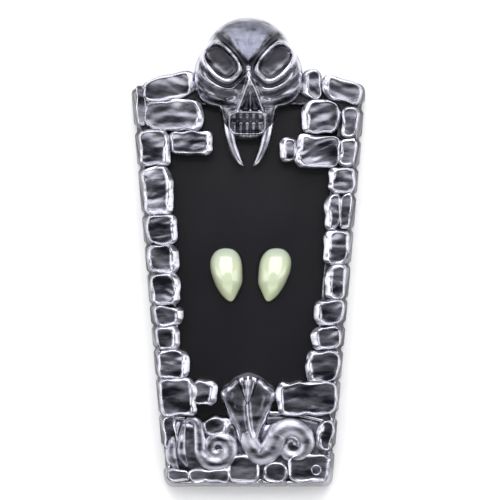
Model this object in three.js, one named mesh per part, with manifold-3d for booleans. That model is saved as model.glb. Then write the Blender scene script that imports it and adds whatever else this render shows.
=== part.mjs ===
// A pair of vampire fang caps shown in their coffin-shaped display case.
// The case lies on its back: X across, Y from the foot to the skull, Z up out of the front.
// Millimetres. The origin is under the middle of the case, on the face that it rests on.
import * as THREE from 'three';
import { mergeVertices } from 'three/addons/utils/BufferGeometryUtils.js';
import Module from 'manifold-3d';

// Case outline
const BODY_LENGTH = 106; // foot to the peak of the gable
const GABLE_DROP = 4.4; // how far the shoulders lie below the peak
const FOOT_WIDTH = 42.2;
const SHOULDER_WIDTH = 59.5;
const CORNER_RADIUS = 2.6;
const SKULL_RISE = 12; // how far the skull stands past the gable

// Levels, from the back to the front
const BACK_THICKNESS = 1.5;
const SEAT_GAP = 0.3; // glue line between pieces that lie on each other
const PANEL_THICKNESS = 2.4;
const FRAME_HEIGHT = 7.2; // foot of the frame to the floor of its joints
const STONE_RISE = 2.5; // stone faces above the floor of the joints

// Frame
const DRAFT = 1.5; // how far the side wall leans in over its height
const WALL = 2;
const PANEL_CLEARANCE = 0.3;
const SIDE_BORDER = 7;
const TOP_BORDER = 10;
const FOOT_BORDER = 16.5;
const STONE_BEVEL = 0.6;
const STONE_CORNER = 1.1;
const RELIEF_BEVEL = 0.9; // on the jaw and on the hood

// Skull
const SKULL_RADIUS = 11.4;
const SKULL_HEIGHT = 9.2; // above the floor of the joints
const EYE_LENGTH = 8.6;
const EYE_WIDTH = 5;
const EYE_SPREAD = 12.4; // between the two middles
const EYE_SLANT = 46; // degrees
const EYE_RIM = 0.75;
const EYE_DEPTH = 4;
const BROW_WIDTH = 1.2;
const CHEEK_WIDTH = 10;
const CHEEK_LENGTH = 11.6;
const NOSE_WIDTH = 6;
const NOSE_LENGTH = 4.8;
const JAW_WIDTH = 13;
const JAW_LENGTH = 9;
const JAW_RISE = 3.4; // above the floor of the joints
const TOOTH_WIDTH = 1.5;
const TOOTH_LENGTH = 2.4;
const TOOTH_OVERLAP = 0.03; // how far the teeth of a row run into each other
const TEETH_ACROSS = 5;
const SKULL_FANG_LENGTH = 14.4;
const SKULL_FANG_WIDTH = 3;
const SKULL_FANG_SPREAD = 11.2; // between the two roots
const EYE_TURN = 28; // degrees, how far the sockets face to the side
const BROW_SLANT = 43; // degrees
const BROW_DIP = 26; // degrees, how far the grooves follow the fall of the forehead

// Serpent
const HOOD_WIDTH = 14.4;
const HOOD_LENGTH = 18;
const HOOD_RISE = 3;
const SNAKE_HEAD_LENGTH = 7;
const SNAKE_HEAD_WIDTH = 4.4;
const SNAKE_HEAD_DROP = 3.85; // middle of the head below the crown of the hood
const SNAKE_THICKNESS = 4.4;
const COIL_RADIUS = 4.2; // of the body's middle line
const COIL_SPREAD = 18.6; // between the two coils' middles
const COIL_HEIGHT = 10.8; // above the foot of the case
const TAIL_LENGTH = 13;
const TAIL_WIDTH = 4.6;
const RING_RADIUS = 1.2;
const RING_WIRE = 0.84;

// Fang caps
const FANG_LENGTH = 13.5;
const FANG_WIDTH = 8.2;
const FANG_DEPTH = 7; // from its seat to the crown of its front
const FANG_BACK = 2.5; // from its seat to its widest level
const FANG_LEAN = 1.5; // how far the tip bends to the other fang
const FANG_WALL = 0.85;
const FANG_RIM = 1; // width of the edge round the opening
const FANG_SPREAD = 12.1; // between the two middles
const FANG_SHIFT = 0.5; // middle of the pair from the middle of the case
const FANG_LEVEL = -5.5; // middle of the pair along Y
const POCKET_DEPTH = 1.2;
const POCKET_CLEARANCE = 0.3;

// Stones of the border. The left and right edges are shares of the half-width of the case at
// that height, the low and high edges are shares of the body's length from its foot, rise is a
// share of STONE_RISE, and slope is what the right end stands higher, as a share of that length.
const CORNER_STONE = { left: 0.49, right: 0.92, low: 0.02, high: 0.08, rise: 0.9, slope: 0 };
const STONES = [
  { left: -0.95, right: -0.89, low: 0.86, high: 0.965, rise: 0.9, slope: 0 },
  { left: -0.87, right: -0.46, low: 0.922, high: 0.975, rise: 1, slope: 0.025 },
  { left: -0.87, right: -0.41, low: 0.849, high: 0.913, rise: 1.05, slope: 0 },
  { left: -0.95, right: -0.7, low: 0.765, high: 0.843, rise: 1, slope: 0 },
  { left: -0.67, right: -0.33, low: 0.79, high: 0.842, rise: 0.9, slope: 0 },
  { left: -0.95, right: -0.7, low: 0.653, high: 0.755, rise: 1.05, slope: 0 },
  { left: -0.95, right: -0.68, low: 0.58, high: 0.644, rise: 0.95, slope: 0 },
  { left: -0.95, right: -0.69, low: 0.512, high: 0.573, rise: 1, slope: 0 },
  { left: -0.95, right: -0.69, low: 0.437, high: 0.505, rise: 1.05, slope: 0 },
  { left: -0.95, right: -0.68, low: 0.387, high: 0.431, rise: 0.9, slope: 0 },
  { left: -0.95, right: -0.72, low: 0.333, high: 0.381, rise: 1, slope: 0 },
  { left: -0.95, right: -0.64, low: 0.264, high: 0.326, rise: 1, slope: 0 },
  { left: -0.95, right: -0.58, low: 0.177, high: 0.257, rise: 1.05, slope: 0 },
  { left: -0.95, right: -0.82, low: 0.1, high: 0.17, rise: 0.8, slope: 0 },
  { left: -0.6, right: -0.36, low: 0.203, high: 0.255, rise: 0.9, slope: 0 },
  { left: -0.49, right: -0.21, low: 0.13, high: 0.167, rise: 0.8, slope: 0 },
  { left: 0.46, right: 0.61, low: 0.922, high: 0.985, rise: 0.9, slope: -0.005 },
  { left: 0.64, right: 0.94, low: 0.915, high: 0.965, rise: 1, slope: -0.025 },
  { left: 0.48, right: 0.77, low: 0.842, high: 0.911, rise: 1.05, slope: 0 },
  { left: 0.81, right: 0.95, low: 0.833, high: 0.895, rise: 0.95, slope: 0 },
  { left: 0.29, right: 0.42, low: 0.776, high: 0.825, rise: 0.9, slope: 0 },
  { left: 0.43, right: 0.79, low: 0.762, high: 0.83, rise: 1, slope: 0 },
  { left: 0.82, right: 0.95, low: 0.764, high: 0.823, rise: 0.9, slope: 0 },
  { left: 0.73, right: 0.95, low: 0.698, high: 0.755, rise: 1, slope: 0 },
  { left: 0.72, right: 0.84, low: 0.616, high: 0.69, rise: 1.05, slope: 0 },
  { left: 0.86, right: 0.95, low: 0.616, high: 0.69, rise: 0.95, slope: 0 },
  { left: 0.73, right: 0.95, low: 0.533, high: 0.608, rise: 1, slope: 0 },
  { left: 0.77, right: 0.95, low: 0.45, high: 0.525, rise: 0.9, slope: 0 },
  { left: 0.68, right: 0.95, low: 0.391, high: 0.444, rise: 1.1, slope: 0 },
  { left: 0.67, right: 0.95, low: 0.333, high: 0.38, rise: 0.95, slope: 0.008 },
  { left: 0.62, right: 0.95, low: 0.257, high: 0.322, rise: 1, slope: 0 },
  { left: 0.34, right: 0.95, low: 0.179, high: 0.25, rise: 1.05, slope: 0 },
  { left: 0.78, right: 0.95, low: 0.095, high: 0.16, rise: 0.8, slope: 0 },
  CORNER_STONE,
  { left: -0.92, right: -0.7, low: 0.02, high: 0.044, rise: 0.8, slope: -0.006 },
  { left: -0.67, right: -0.24, low: 0.018, high: 0.045, rise: 0.8, slope: 0 },
  { left: -0.21, right: 0.12, low: 0.018, high: 0.075, rise: 0.85, slope: 0 },
  { left: 0.2, right: 0.44, low: 0.018, high: 0.06, rise: 0.85, slope: 0 },
];

// Webs as high as the floor of the joints, which carry the stones that stand into the window,
// with the stones' columns.
const WEBS = [
  { left: -0.8, right: -0.36, low: 0.795, high: 0.838 },
  { left: 0.32, right: 0.8, low: 0.78, high: 0.822 },
  { left: -0.75, right: -0.25, low: 0.21, high: 0.248 },
];

// Hollows moulded into the back of the frame, with the stones' columns.
const HOLLOWS = [
  { left: -0.86, right: -0.78, low: 0.25, high: 0.86 },
  { left: 0.78, right: 0.86, low: 0.25, high: 0.86 },
  { left: -0.32, right: -0.05, low: 0.925, high: 1.06 },
  { left: 0.05, right: 0.32, low: 0.925, high: 1.06 },
  { left: -0.8, right: -0.42, low: 0.03, high: 0.13 },
  { left: -0.34, right: 0.34, low: 0.03, high: 0.13 },
  { left: 0.42, right: 0.8, low: 0.03, high: 0.13 },
];

// Half-width of a fang cap along its length, from the gum end to the tip, as shares of half of
// FANG_WIDTH.
const FANG_SECTIONS = [
  { along: 0, width: 0 },
  { along: 0.02, width: 0.36 },
  { along: 0.08, width: 0.66 },
  { along: 0.18, width: 0.9 },
  { along: 0.32, width: 1 },
  { along: 0.48, width: 0.98 },
  { along: 0.64, width: 0.86 },
  { along: 0.78, width: 0.65 },
  { along: 0.9, width: 0.4 },
  { along: 0.97, width: 0.2 },
  { along: 1, width: 0 },
];

// Half-width of the hood from the neck to the crown, as shares of half of HOOD_WIDTH.
const HOOD_SECTIONS = [
  { along: 0, width: 0.31 },
  { along: 0.17, width: 0.36 },
  { along: 0.41, width: 0.69 },
  { along: 0.57, width: 0.86 },
  { along: 0.72, width: 1 },
  { along: 0.78, width: 0.95 },
  { along: 0.84, width: 0.78 },
  { along: 0.92, width: 0.6 },
  { along: 0.97, width: 0.36 },
  { along: 1, width: 0.15 },
];

// Middle line of the neck from the hood to its coil, as shares of half of COIL_SPREAD to the
// right and of COIL_RADIUS up from the coils' middles.
const NECK_PATH = [
  { right: -0.06, up: 1 },
  { right: 0.02, up: 0.15 },
  { right: 0.25, up: -0.45 },
  { right: 0.52, up: -0.25 },
];

// Middle lines of the two coils: the angles in degrees at their start and over their winding.
const COILS = [
  { side: 1, start: 150, turn: -330 },
  { side: -1, start: -10, turn: 340 },
];

// Middle line of the tail, as shares of TAIL_WIDTH out from the left coil and of TAIL_LENGTH up
// from the coil's middle.
const TAIL_PATH = [
  { out: -0.09, up: -0.32 },
  { out: 0.7, up: -0.13 },
  { out: 0.8, up: 0.25 },
  { out: -0.09, up: 0.45 },
];

// Form of the skull, each value as a share of the size named beside it.
const SKULL_FORM = {
  eyeLevel: 0.78, // SKULL_HEIGHT
  browSink: 0.2, // BROW_WIDTH, how little the grooves stand out of the forehead
  browDepth: 1.4, // BROW_WIDTH
  browLength: 1.5, // SKULL_RADIUS
  cheekInset: 0.2, // CHEEK_WIDTH
  cheekDrop: 0.42, // CHEEK_LENGTH
  cheekHeight: 1.2, // SKULL_HEIGHT, from the back to the front
  jawFootWidth: 0.72, // JAW_WIDTH
  jawOverlap: 0.38, // JAW_LENGTH, the part that runs up under the nose
  muzzleRise: 0.4, // NOSE_LENGTH
  muzzleWidth: 1.7, // NOSE_WIDTH
  muzzleLength: 3, // NOSE_LENGTH
  muzzleHeight: 1.45, // SKULL_HEIGHT, from the back to the front
  upperTeeth: 0.34, // JAW_LENGTH below the chin line
  lowerTeeth: 0.72, // JAW_LENGTH below the chin line
  toothLevel: 0.8, // JAW_RISE
  fangLevel: 0.8, // JAW_RISE
  fangTipWidth: 0.5, // SKULL_FANG_WIDTH, left between the two tips
};

// Other shares.
const SHARES = {
  cornerReach: 0.45, // of a side, the most that its corner's rounding takes
  bevelLimit: 0.2, // of a stone's narrow side
  bodySink: 0.2, // of SNAKE_THICKNESS, level of the body's middle line over the joints
  coilTightening: 0.45, // of COIL_RADIUS, lost from the start to the end of a coil
  ringPlace: 0.67, // of its stone's width, from the left
  solidTip: 0.4, // of FANG_LENGTH, not hollow
};

const FOOT_Y = -(BODY_LENGTH + SKULL_RISE) / 2;
const PEAK_Y = FOOT_Y + BODY_LENGTH;
const SHOULDER_Y = PEAK_Y - GABLE_DROP;
const SKULL_Y = PEAK_Y + SKULL_RISE - SKULL_RADIUS;
const PANEL_Z = BACK_THICKNESS + SEAT_GAP;
const PANEL_TOP = PANEL_Z + PANEL_THICKNESS;
const FRAME_Z = BACK_THICKNESS + SEAT_GAP;
const JOINT_Z = FRAME_Z + FRAME_HEIGHT;
const OVER_PANEL_Z = PANEL_TOP + PANEL_CLEARANCE;
const COIL_X = COIL_SPREAD / 2;
const COIL_Y = FOOT_Y + COIL_HEIGHT;
const FANG_SEAT_Z = PANEL_TOP - POCKET_DEPTH + SEAT_GAP;
const SIDES = [-1, 1];
const WELD = 0.001; // points nearer than this become one
const SLIVER = 0.01; // cubic millimetres, the most that a crumb left by rounding holds
const OVERSHOOT = 2;

const wasm = await Module();
wasm.setup();

function solid(geometry, tolerance = WELD / 10) {
  const plain = geometry.index ? geometry.toNonIndexed() : geometry.clone();
  plain.deleteAttribute('normal');
  plain.deleteAttribute('uv');
  const merged = mergeVertices(plain, tolerance);
  return new wasm.Manifold(new wasm.Mesh({
    numProp: 3,
    vertProperties: new Float32Array(merged.attributes.position.array),
    triVerts: new Uint32Array(merged.index.array),
  }));
}

function geometryOf(manifold) {
  const { vertProperties, triVerts } = manifold.getMesh();
  const geometry = new THREE.BufferGeometry();
  geometry.setAttribute('position', new THREE.BufferAttribute(vertProperties, 3));
  geometry.setIndex(new THREE.BufferAttribute(triVerts, 1));
  const flat = geometry.toNonIndexed();
  flat.computeVertexNormals();
  return flat;
}

function join(pieces) {
  return pieces.reduce((whole, piece) => whole.add(piece));
}

// A welded copy of a solid without the crumbs that rounding leaves where its pieces meet.
function withoutCrumbs(manifold) {
  const bodies = solid(geometryOf(manifold), WELD).decompose();
  return join(bodies.filter((body) => body.volume() > SLIVER));
}

// Half-width of the case at a height, the sides being straight lines from foot to shoulder.
function halfWidthAt(y) {
  const share = (y - FOOT_Y) / (SHOULDER_Y - FOOT_Y);
  return THREE.MathUtils.lerp(FOOT_WIDTH, SHOULDER_WIDTH, Math.min(share, 1)) / 2;
}

function roundedShape(corners, radius) {
  const shape = new THREE.Shape();
  corners.forEach((corner, i) => {
    const before = corners[(i + corners.length - 1) % corners.length];
    const after = corners[(i + 1) % corners.length];
    const back = before.clone().sub(corner);
    const on = after.clone().sub(corner);
    const reach = Math.min(radius, SHARES.cornerReach * Math.min(back.length(), on.length()));
    const start = corner.clone().add(back.setLength(reach));
    const end = corner.clone().add(on.setLength(reach));
    if (i === 0) shape.moveTo(start.x, start.y);
    else shape.lineTo(start.x, start.y);
    shape.quadraticCurveTo(corner.x, corner.y, end.x, end.y);
  });
  shape.closePath();
  return shape;
}

// Coffin outline, moved in by inset all round.
function caseCorners(inset) {
  const foot = FOOT_Y + inset;
  const shoulder = SHOULDER_Y - inset;
  return [
    new THREE.Vector2(-halfWidthAt(foot) + inset, foot),
    new THREE.Vector2(halfWidthAt(foot) - inset, foot),
    new THREE.Vector2(halfWidthAt(shoulder) - inset, shoulder),
    new THREE.Vector2(0, PEAK_Y - inset),
    new THREE.Vector2(-halfWidthAt(shoulder) + inset, shoulder),
  ];
}

function prism(shape, low, high, curveSegments = 3) {
  const geometry = new THREE.ExtrudeGeometry(shape, {
    depth: high - low, bevelEnabled: false, curveSegments,
  });
  geometry.translate(0, 0, low);
  return solid(geometry);
}

// A block whose upper edge is bevelled. It is made with a bevel at both ends, and the lower one
// hangs below its foot, where a box cuts it off.
function bevelledBlock(shape, low, high, bevel, options = {}) {
  const { segments = 1, curveSegments = 2, bevelHeight = bevel } = options;
  const geometry = new THREE.ExtrudeGeometry(shape, {
    depth: high - low - bevelHeight,
    bevelThickness: bevelHeight,
    bevelSize: bevel,
    bevelOffset: -bevel,
    bevelSegments: segments,
    curveSegments,
  });
  geometry.translate(0, 0, low);
  return solid(geometry).subtract(floorBlock(low));
}

function floorBlock(top) {
  const size = 2 * (BODY_LENGTH + SKULL_RISE);
  return solid(new THREE.BoxGeometry(size, size, size).translate(0, 0, top - size / 2));
}

function ellipsoid(x, y, z, width, length, height, around = 16, rings = 10) {
  const geometry = new THREE.SphereGeometry(0.5, around, rings);
  geometry.rotateX(Math.PI / 2);
  geometry.scale(width, length, height);
  geometry.translate(x, y, z);
  return solid(geometry);
}

function yAt(share) {
  return FOOT_Y + share * BODY_LENGTH;
}

// Corners of a stone or a hollow from its row in the table.
function blockCorners({ left, right, low, high, slope = 0 }) {
  const corner = (side, level, rise) => {
    const y = yAt(level + rise);
    return new THREE.Vector2(side * halfWidthAt(y), y);
  };
  return [
    corner(left, low, -slope / 2),
    corner(right, low, slope / 2),
    corner(right, high, slope / 2),
    corner(left, high, -slope / 2),
  ];
}

function skullDisc(low, high, inset) {
  const geometry = new THREE.CylinderGeometry(
    SKULL_RADIUS - inset, SKULL_RADIUS, high - low, 32,
  );
  geometry.rotateX(Math.PI / 2);
  geometry.translate(0, SKULL_Y, (low + high) / 2);
  return solid(geometry);
}

function backPlate() {
  const coffin = prism(roundedShape(caseCorners(0), CORNER_RADIUS), 0, BACK_THICKNESS);
  return coffin.add(skullDisc(0, BACK_THICKNESS, 0));
}

// How far a fang cap has bent to the other one at a share of its length.
function fangLeanAt(along) {
  return along ** 2 * FANG_LEAN;
}

// Outline of a fang cap seen from the front, as points round it, grown by an offset.
function fangOutline(side, grow) {
  const edge = (direction) => FANG_SECTIONS.map(({ along, width }) => new THREE.Vector2(
    direction * (width * FANG_WIDTH) / 2 - side * fangLeanAt(along),
    (0.5 - along) * FANG_LENGTH,
  ));
  const around = [...edge(-1), ...edge(1).reverse().slice(1, -1)];
  const outward = (point) => {
    const middle = new THREE.Vector2(-side * fangLeanAt(0.5), 0);
    const away = point.clone().sub(middle);
    return point.clone().add(away.setLength(grow)).add(new THREE.Vector2(fangX(side), FANG_LEVEL));
  };
  return new THREE.Shape(around.map(outward));
}

function fangX(side) {
  return FANG_SHIFT + (side * FANG_SPREAD) / 2;
}

function displayPanel() {
  const corners = caseCorners(WALL + PANEL_CLEARANCE);
  let panel = prism(roundedShape(corners, CORNER_RADIUS), PANEL_Z, PANEL_TOP);
  for (const side of SIDES) {
    const pocket = prism(
      fangOutline(side, POCKET_CLEARANCE), PANEL_TOP - POCKET_DEPTH, PANEL_TOP + OVERSHOOT,
    );
    panel = panel.subtract(pocket);
  }
  return panel;
}

// Ring of the frame below the stones: a drafted wall, the window and the moulded hollows.
function frameRing() {
  const outer = bevelledBlock(
    roundedShape(caseCorners(0), CORNER_RADIUS), FRAME_Z, JOINT_Z, DRAFT,
    { bevelHeight: FRAME_HEIGHT - SEAT_GAP, curveSegments: 3 },
  );
  const windowFoot = FOOT_Y + FOOT_BORDER;
  const windowHead = PEAK_Y - TOP_BORDER;
  const window = roundedShape([
    new THREE.Vector2(-halfWidthAt(windowFoot) + SIDE_BORDER, windowFoot),
    new THREE.Vector2(halfWidthAt(windowFoot) - SIDE_BORDER, windowFoot),
    new THREE.Vector2(halfWidthAt(windowHead) - SIDE_BORDER, windowHead),
    new THREE.Vector2(-halfWidthAt(windowHead) + SIDE_BORDER, windowHead),
  ], CORNER_RADIUS);
  const seat = prism(roundedShape(caseCorners(WALL), CORNER_RADIUS), FRAME_Z - OVERSHOOT, OVER_PANEL_Z);
  const hollows = HOLLOWS.map((row) => prism(
    roundedShape(blockCorners(row), STONE_CORNER), FRAME_Z, JOINT_Z - WALL, 1,
  ));
  return outer
    .add(skullDisc(FRAME_Z, JOINT_Z, DRAFT))
    .subtract(prism(window, FRAME_Z - OVERSHOOT, JOINT_Z + OVERSHOOT))
    .subtract(seat)
    .subtract(join(hollows));
}

function stone(row) {
  const corners = blockCorners(row);
  const narrowest = Math.min(corners[0].distanceTo(corners[1]), corners[1].distanceTo(corners[2]));
  const bevel = Math.min(STONE_BEVEL, narrowest * SHARES.bevelLimit);
  const top = JOINT_Z + row.rise * STONE_RISE;
  return bevelledBlock(roundedShape(corners, STONE_CORNER), OVER_PANEL_Z, top, bevel);
}

// A slanted eye socket on one side: a cutter for the hollow, or the rolled rim round it.
function eye(side, rim) {
  const geometry = rim
    ? new THREE.TorusGeometry(EYE_WIDTH / 2, EYE_RIM, 6, 16)
    : new THREE.SphereGeometry(EYE_WIDTH / 2, 14, 8);
  geometry.scale(1, EYE_LENGTH / EYE_WIDTH, rim ? 1 : (2 * EYE_DEPTH) / EYE_WIDTH);
  geometry.rotateZ(side * -THREE.MathUtils.degToRad(EYE_SLANT));
  geometry.rotateY(side * THREE.MathUtils.degToRad(EYE_TURN));
  const level = JOINT_Z + SKULL_HEIGHT * SKULL_FORM.eyeLevel;
  geometry.translate((side * EYE_SPREAD) / 2, SKULL_Y - EYE_RIM, level);
  return solid(geometry);
}

// A curved fang of the skull: a cone bent inwards, as high as the relief and cut off at its foot.
function skullFang(side) {
  const root = SKULL_Y - SKULL_RADIUS;
  const bend = (SKULL_FANG_SPREAD - SKULL_FANG_WIDTH * SKULL_FORM.fangTipWidth) / 2;
  const height = JOINT_Z + JAW_RISE * SKULL_FORM.fangLevel - OVER_PANEL_Z;
  const cone = new THREE.ConeGeometry(SKULL_FANG_WIDTH / 2, SKULL_FANG_LENGTH, 12, 8);
  cone.rotateZ(Math.PI);
  cone.scale(1, 1, (2 * height) / SKULL_FANG_WIDTH);
  const position = cone.attributes.position;
  for (let i = 0; i < position.count; i += 1) {
    const share = 0.5 - position.getY(i) / SKULL_FANG_LENGTH;
    position.setX(i, position.getX(i) - side * bend * share ** 2);
  }
  cone.translate((side * SKULL_FANG_SPREAD) / 2, root - SKULL_FANG_LENGTH / 2, OVER_PANEL_Z);
  return solid(cone);
}

// The jaw: a block under the nose with two rows of teeth on it.
function jaw(chin) {
  const foot = chin - JAW_LENGTH * (1 - SKULL_FORM.jawOverlap);
  const head = chin + JAW_LENGTH * SKULL_FORM.jawOverlap;
  const footHalf = (JAW_WIDTH * SKULL_FORM.jawFootWidth) / 2;
  const shape = roundedShape([
    new THREE.Vector2(-footHalf, foot),
    new THREE.Vector2(footHalf, foot),
    new THREE.Vector2(JAW_WIDTH / 2, head),
    new THREE.Vector2(-JAW_WIDTH / 2, head),
  ], STONE_CORNER);
  const block = bevelledBlock(shape, OVER_PANEL_Z, JOINT_Z + JAW_RISE, RELIEF_BEVEL);
  const teeth = [];
  for (let i = 0; i < TEETH_ACROSS; i += 1) {
    const x = (i - (TEETH_ACROSS - 1) / 2) * TOOTH_WIDTH;
    for (const row of [SKULL_FORM.upperTeeth, SKULL_FORM.lowerTeeth]) {
      teeth.push(ellipsoid(
        x, chin - JAW_LENGTH * row, JOINT_Z + JAW_RISE * SKULL_FORM.toothLevel,
        TOOTH_WIDTH + TOOTH_OVERLAP, TOOTH_LENGTH, JAW_RISE, 8, 4,
      ));
    }
  }
  return join([block, ...teeth]);
}

// A groove from between the eyes up and out over one of them.
function brow(side) {
  const length = SKULL_RADIUS * SKULL_FORM.browLength;
  const groove = new THREE.BoxGeometry(BROW_WIDTH, length, BROW_WIDTH * SKULL_FORM.browDepth);
  groove.translate(0, length / 2, 0);
  groove.rotateZ(side * THREE.MathUtils.degToRad(-BROW_SLANT));
  groove.rotateX(THREE.MathUtils.degToRad(-BROW_DIP));
  const level = JOINT_Z + SKULL_HEIGHT + BROW_WIDTH * SKULL_FORM.browSink;
  return solid(groove.translate(0, SKULL_Y - EYE_RIM, level));
}

function skull() {
  const chin = SKULL_Y - SKULL_RADIUS;
  const cranium = ellipsoid(
    0, SKULL_Y, JOINT_Z, 2 * SKULL_RADIUS, 2 * SKULL_RADIUS, 2 * SKULL_HEIGHT, 24, 14,
  );
  const cheeks = SIDES.map((side) => ellipsoid(
    side * (SKULL_RADIUS - CHEEK_WIDTH * SKULL_FORM.cheekInset),
    SKULL_Y - CHEEK_LENGTH * SKULL_FORM.cheekDrop, JOINT_Z,
    CHEEK_WIDTH, CHEEK_LENGTH, SKULL_HEIGHT * SKULL_FORM.cheekHeight, 16, 8,
  ));
  const muzzle = ellipsoid(
    0, chin + NOSE_LENGTH * SKULL_FORM.muzzleRise, JOINT_Z, NOSE_WIDTH * SKULL_FORM.muzzleWidth,
    NOSE_LENGTH * SKULL_FORM.muzzleLength, SKULL_HEIGHT * SKULL_FORM.muzzleHeight,
  );
  const nose = new THREE.Shape([
    new THREE.Vector2(-NOSE_WIDTH / 2, chin),
    new THREE.Vector2(NOSE_WIDTH / 2, chin),
    new THREE.Vector2(0, chin + NOSE_LENGTH),
  ]);
  return join([cranium, ...cheeks, muzzle])
    .add(join(SIDES.map((side) => eye(side, true))))
    .subtract(join(SIDES.map((side) => eye(side, false))))
    .subtract(join(SIDES.map(brow)))
    .subtract(prism(nose, JOINT_Z + JAW_RISE, JOINT_Z + SKULL_HEIGHT + OVERSHOOT))
    .add(jaw(chin))
    .add(join(SIDES.map(skullFang)))
    .subtract(floorBlock(OVER_PANEL_Z));
}

// Round body of the serpent swept along a path at the level of its back.
function snakeBody(points) {
  const level = JOINT_Z + SNAKE_THICKNESS * SHARES.bodySink;
  const path = new THREE.CatmullRomCurve3(points.map(([x, y]) => new THREE.Vector3(x, y, level)));
  const section = new THREE.Shape();
  section.absarc(0, 0, SNAKE_THICKNESS / 2, 0, 2 * Math.PI);
  return solid(new THREE.ExtrudeGeometry(section, {
    extrudePath: path, steps: points.length * 3, curveSegments: 4, bevelEnabled: false,
  }));
}

// Middle line of a coil: an arc that winds in.
function coilPoints({ side, start, turn }) {
  const steps = 7;
  return Array.from({ length: steps + 1 }, (_, i) => {
    const angle = THREE.MathUtils.degToRad(start + (turn * i) / steps);
    const radius = COIL_RADIUS * (1 - (SHARES.coilTightening * i) / steps);
    return [side * COIL_X + radius * Math.cos(angle), COIL_Y + radius * Math.sin(angle)];
  });
}

function serpent() {
  const edge = (direction) => HOOD_SECTIONS.map(({ along, width }) => new THREE.Vector2(
    (direction * width * HOOD_WIDTH) / 2, COIL_Y + along * HOOD_LENGTH,
  ));
  const hoodShape = new THREE.Shape([...edge(1), ...edge(-1).reverse()]);
  const hood = bevelledBlock(hoodShape, OVER_PANEL_Z, JOINT_Z + HOOD_RISE, RELIEF_BEVEL);
  const head = ellipsoid(
    0, COIL_Y + HOOD_LENGTH - SNAKE_HEAD_DROP, JOINT_Z + HOOD_RISE,
    SNAKE_HEAD_WIDTH, SNAKE_HEAD_LENGTH, HOOD_RISE, 12, 8,
  );
  const [rightCoil, leftCoil] = COILS.map(coilPoints);
  const neck = NECK_PATH.map(({ right, up }) => [right * COIL_X, COIL_Y + up * COIL_RADIUS]);
  const tail = TAIL_PATH.map(({ out, up }) => [
    -COIL_X - COIL_RADIUS - out * TAIL_WIDTH, COIL_Y + up * TAIL_LENGTH,
  ]);
  const limbs = [[...neck, ...rightCoil], leftCoil, tail].map(snakeBody);
  return join([hood, head, ...limbs]).subtract(floorBlock(OVER_PANEL_Z));
}

// The small ring that stands on the stone in the corner of the foot.
function cornerRing() {
  const ring = new THREE.TorusGeometry(RING_RADIUS, RING_WIRE / 2, 6, 14);
  const y = yAt((CORNER_STONE.low + CORNER_STONE.high) / 2);
  const x = THREE.MathUtils.lerp(CORNER_STONE.left, CORNER_STONE.right, SHARES.ringPlace);
  const level = JOINT_Z + CORNER_STONE.rise * STONE_RISE;
  return solid(ring.translate(x * halfWidthAt(y), y, level));
}

function web(row) {
  return prism(roundedShape(blockCorners(row), STONE_CORNER), OVER_PANEL_Z, JOINT_Z, 1);
}

function frontFrame() {
  return withoutCrumbs(join([
    frameRing(), ...WEBS.map(web), ...STONES.map(stone), skull(), serpent(), cornerRing(),
  ]));
}

// One fang cap: a hollow crown whose back is open from the gum end down to its inner wall.
function fangCap(side) {
  const profile = (inset) => FANG_SECTIONS.map(({ along, width }) => new THREE.Vector2(
    Math.max((width * FANG_WIDTH) / 2 - (width > 0 ? inset : 0), 0),
    (0.5 - along) * (FANG_LENGTH - 2 * inset),
  ));
  const crown = (inset) => {
    const lathe = new THREE.LatheGeometry(profile(inset).reverse(), 20);
    const position = lathe.attributes.position;
    for (let i = 0; i < position.count; i += 1) {
      const lean = fangLeanAt(0.5 - position.getY(i) / FANG_LENGTH);
      position.setX(i, position.getX(i) - side * lean);
    }
    const depth = (2 * (FANG_DEPTH - FANG_BACK - inset)) / (FANG_WIDTH - 2 * inset);
    lathe.scale(1, 1, depth);
    lathe.translate(fangX(side), FANG_LEVEL, FANG_SEAT_Z + FANG_BACK);
    return solid(lathe);
  };
  const open = prism(
    fangOutline(side, -FANG_RIM), FANG_SEAT_Z - OVERSHOOT, FANG_SEAT_Z + FANG_BACK, 3,
  );
  const tipLength = FANG_LENGTH * SHARES.solidTip;
  const tipBlock = solid(new THREE.BoxGeometry(2 * FANG_WIDTH, tipLength, 4 * FANG_DEPTH)
    .translate(fangX(side), FANG_LEVEL - (FANG_LENGTH - tipLength) / 2, FANG_SEAT_Z));
  const hollow = crown(FANG_WALL).add(open).subtract(tipBlock);
  return crown(0).subtract(floorBlock(FANG_SEAT_Z)).subtract(hollow);
}

function mesh(name, manifold, finish) {
  const piece = new THREE.Mesh(geometryOf(manifold), new THREE.MeshStandardMaterial(finish));
  piece.name = name;
  return piece;
}

const BLACK_PLASTIC = { color: 0x1d1d20, roughness: 0.45, metalness: 0 };
const BLACK_CARD = { color: 0x25262b, roughness: 0.3, metalness: 0 };
const SILVERED_PLASTIC = { color: 0x9a9aa4, roughness: 0.25, metalness: 1 };
const TOOTH_ACRYLIC = { color: 0xdce8c8, roughness: 0.18, metalness: 0 };

const group = new THREE.Group();
group.add(mesh('back_plate', backPlate(), BLACK_PLASTIC));
group.add(mesh('display_panel', displayPanel(), BLACK_CARD));
group.add(mesh('front_frame', frontFrame(), SILVERED_PLASTIC));
group.add(mesh('fang_left', fangCap(-1), TOOTH_ACRYLIC));
group.add(mesh('fang_right', fangCap(1), TOOTH_ACRYLIC));

export default group;
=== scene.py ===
"""Pair of vampire fang caps in a coffin-shaped display case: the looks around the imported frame.

The case lies on its back, X across, Y from its foot to the skull and Z out of its front. Sizes
are in millimetres and turn to metres only where a mesh is made.
"""
import logging
import math
from dataclasses import dataclass, field
from enum import Enum
from typing import Any

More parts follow.
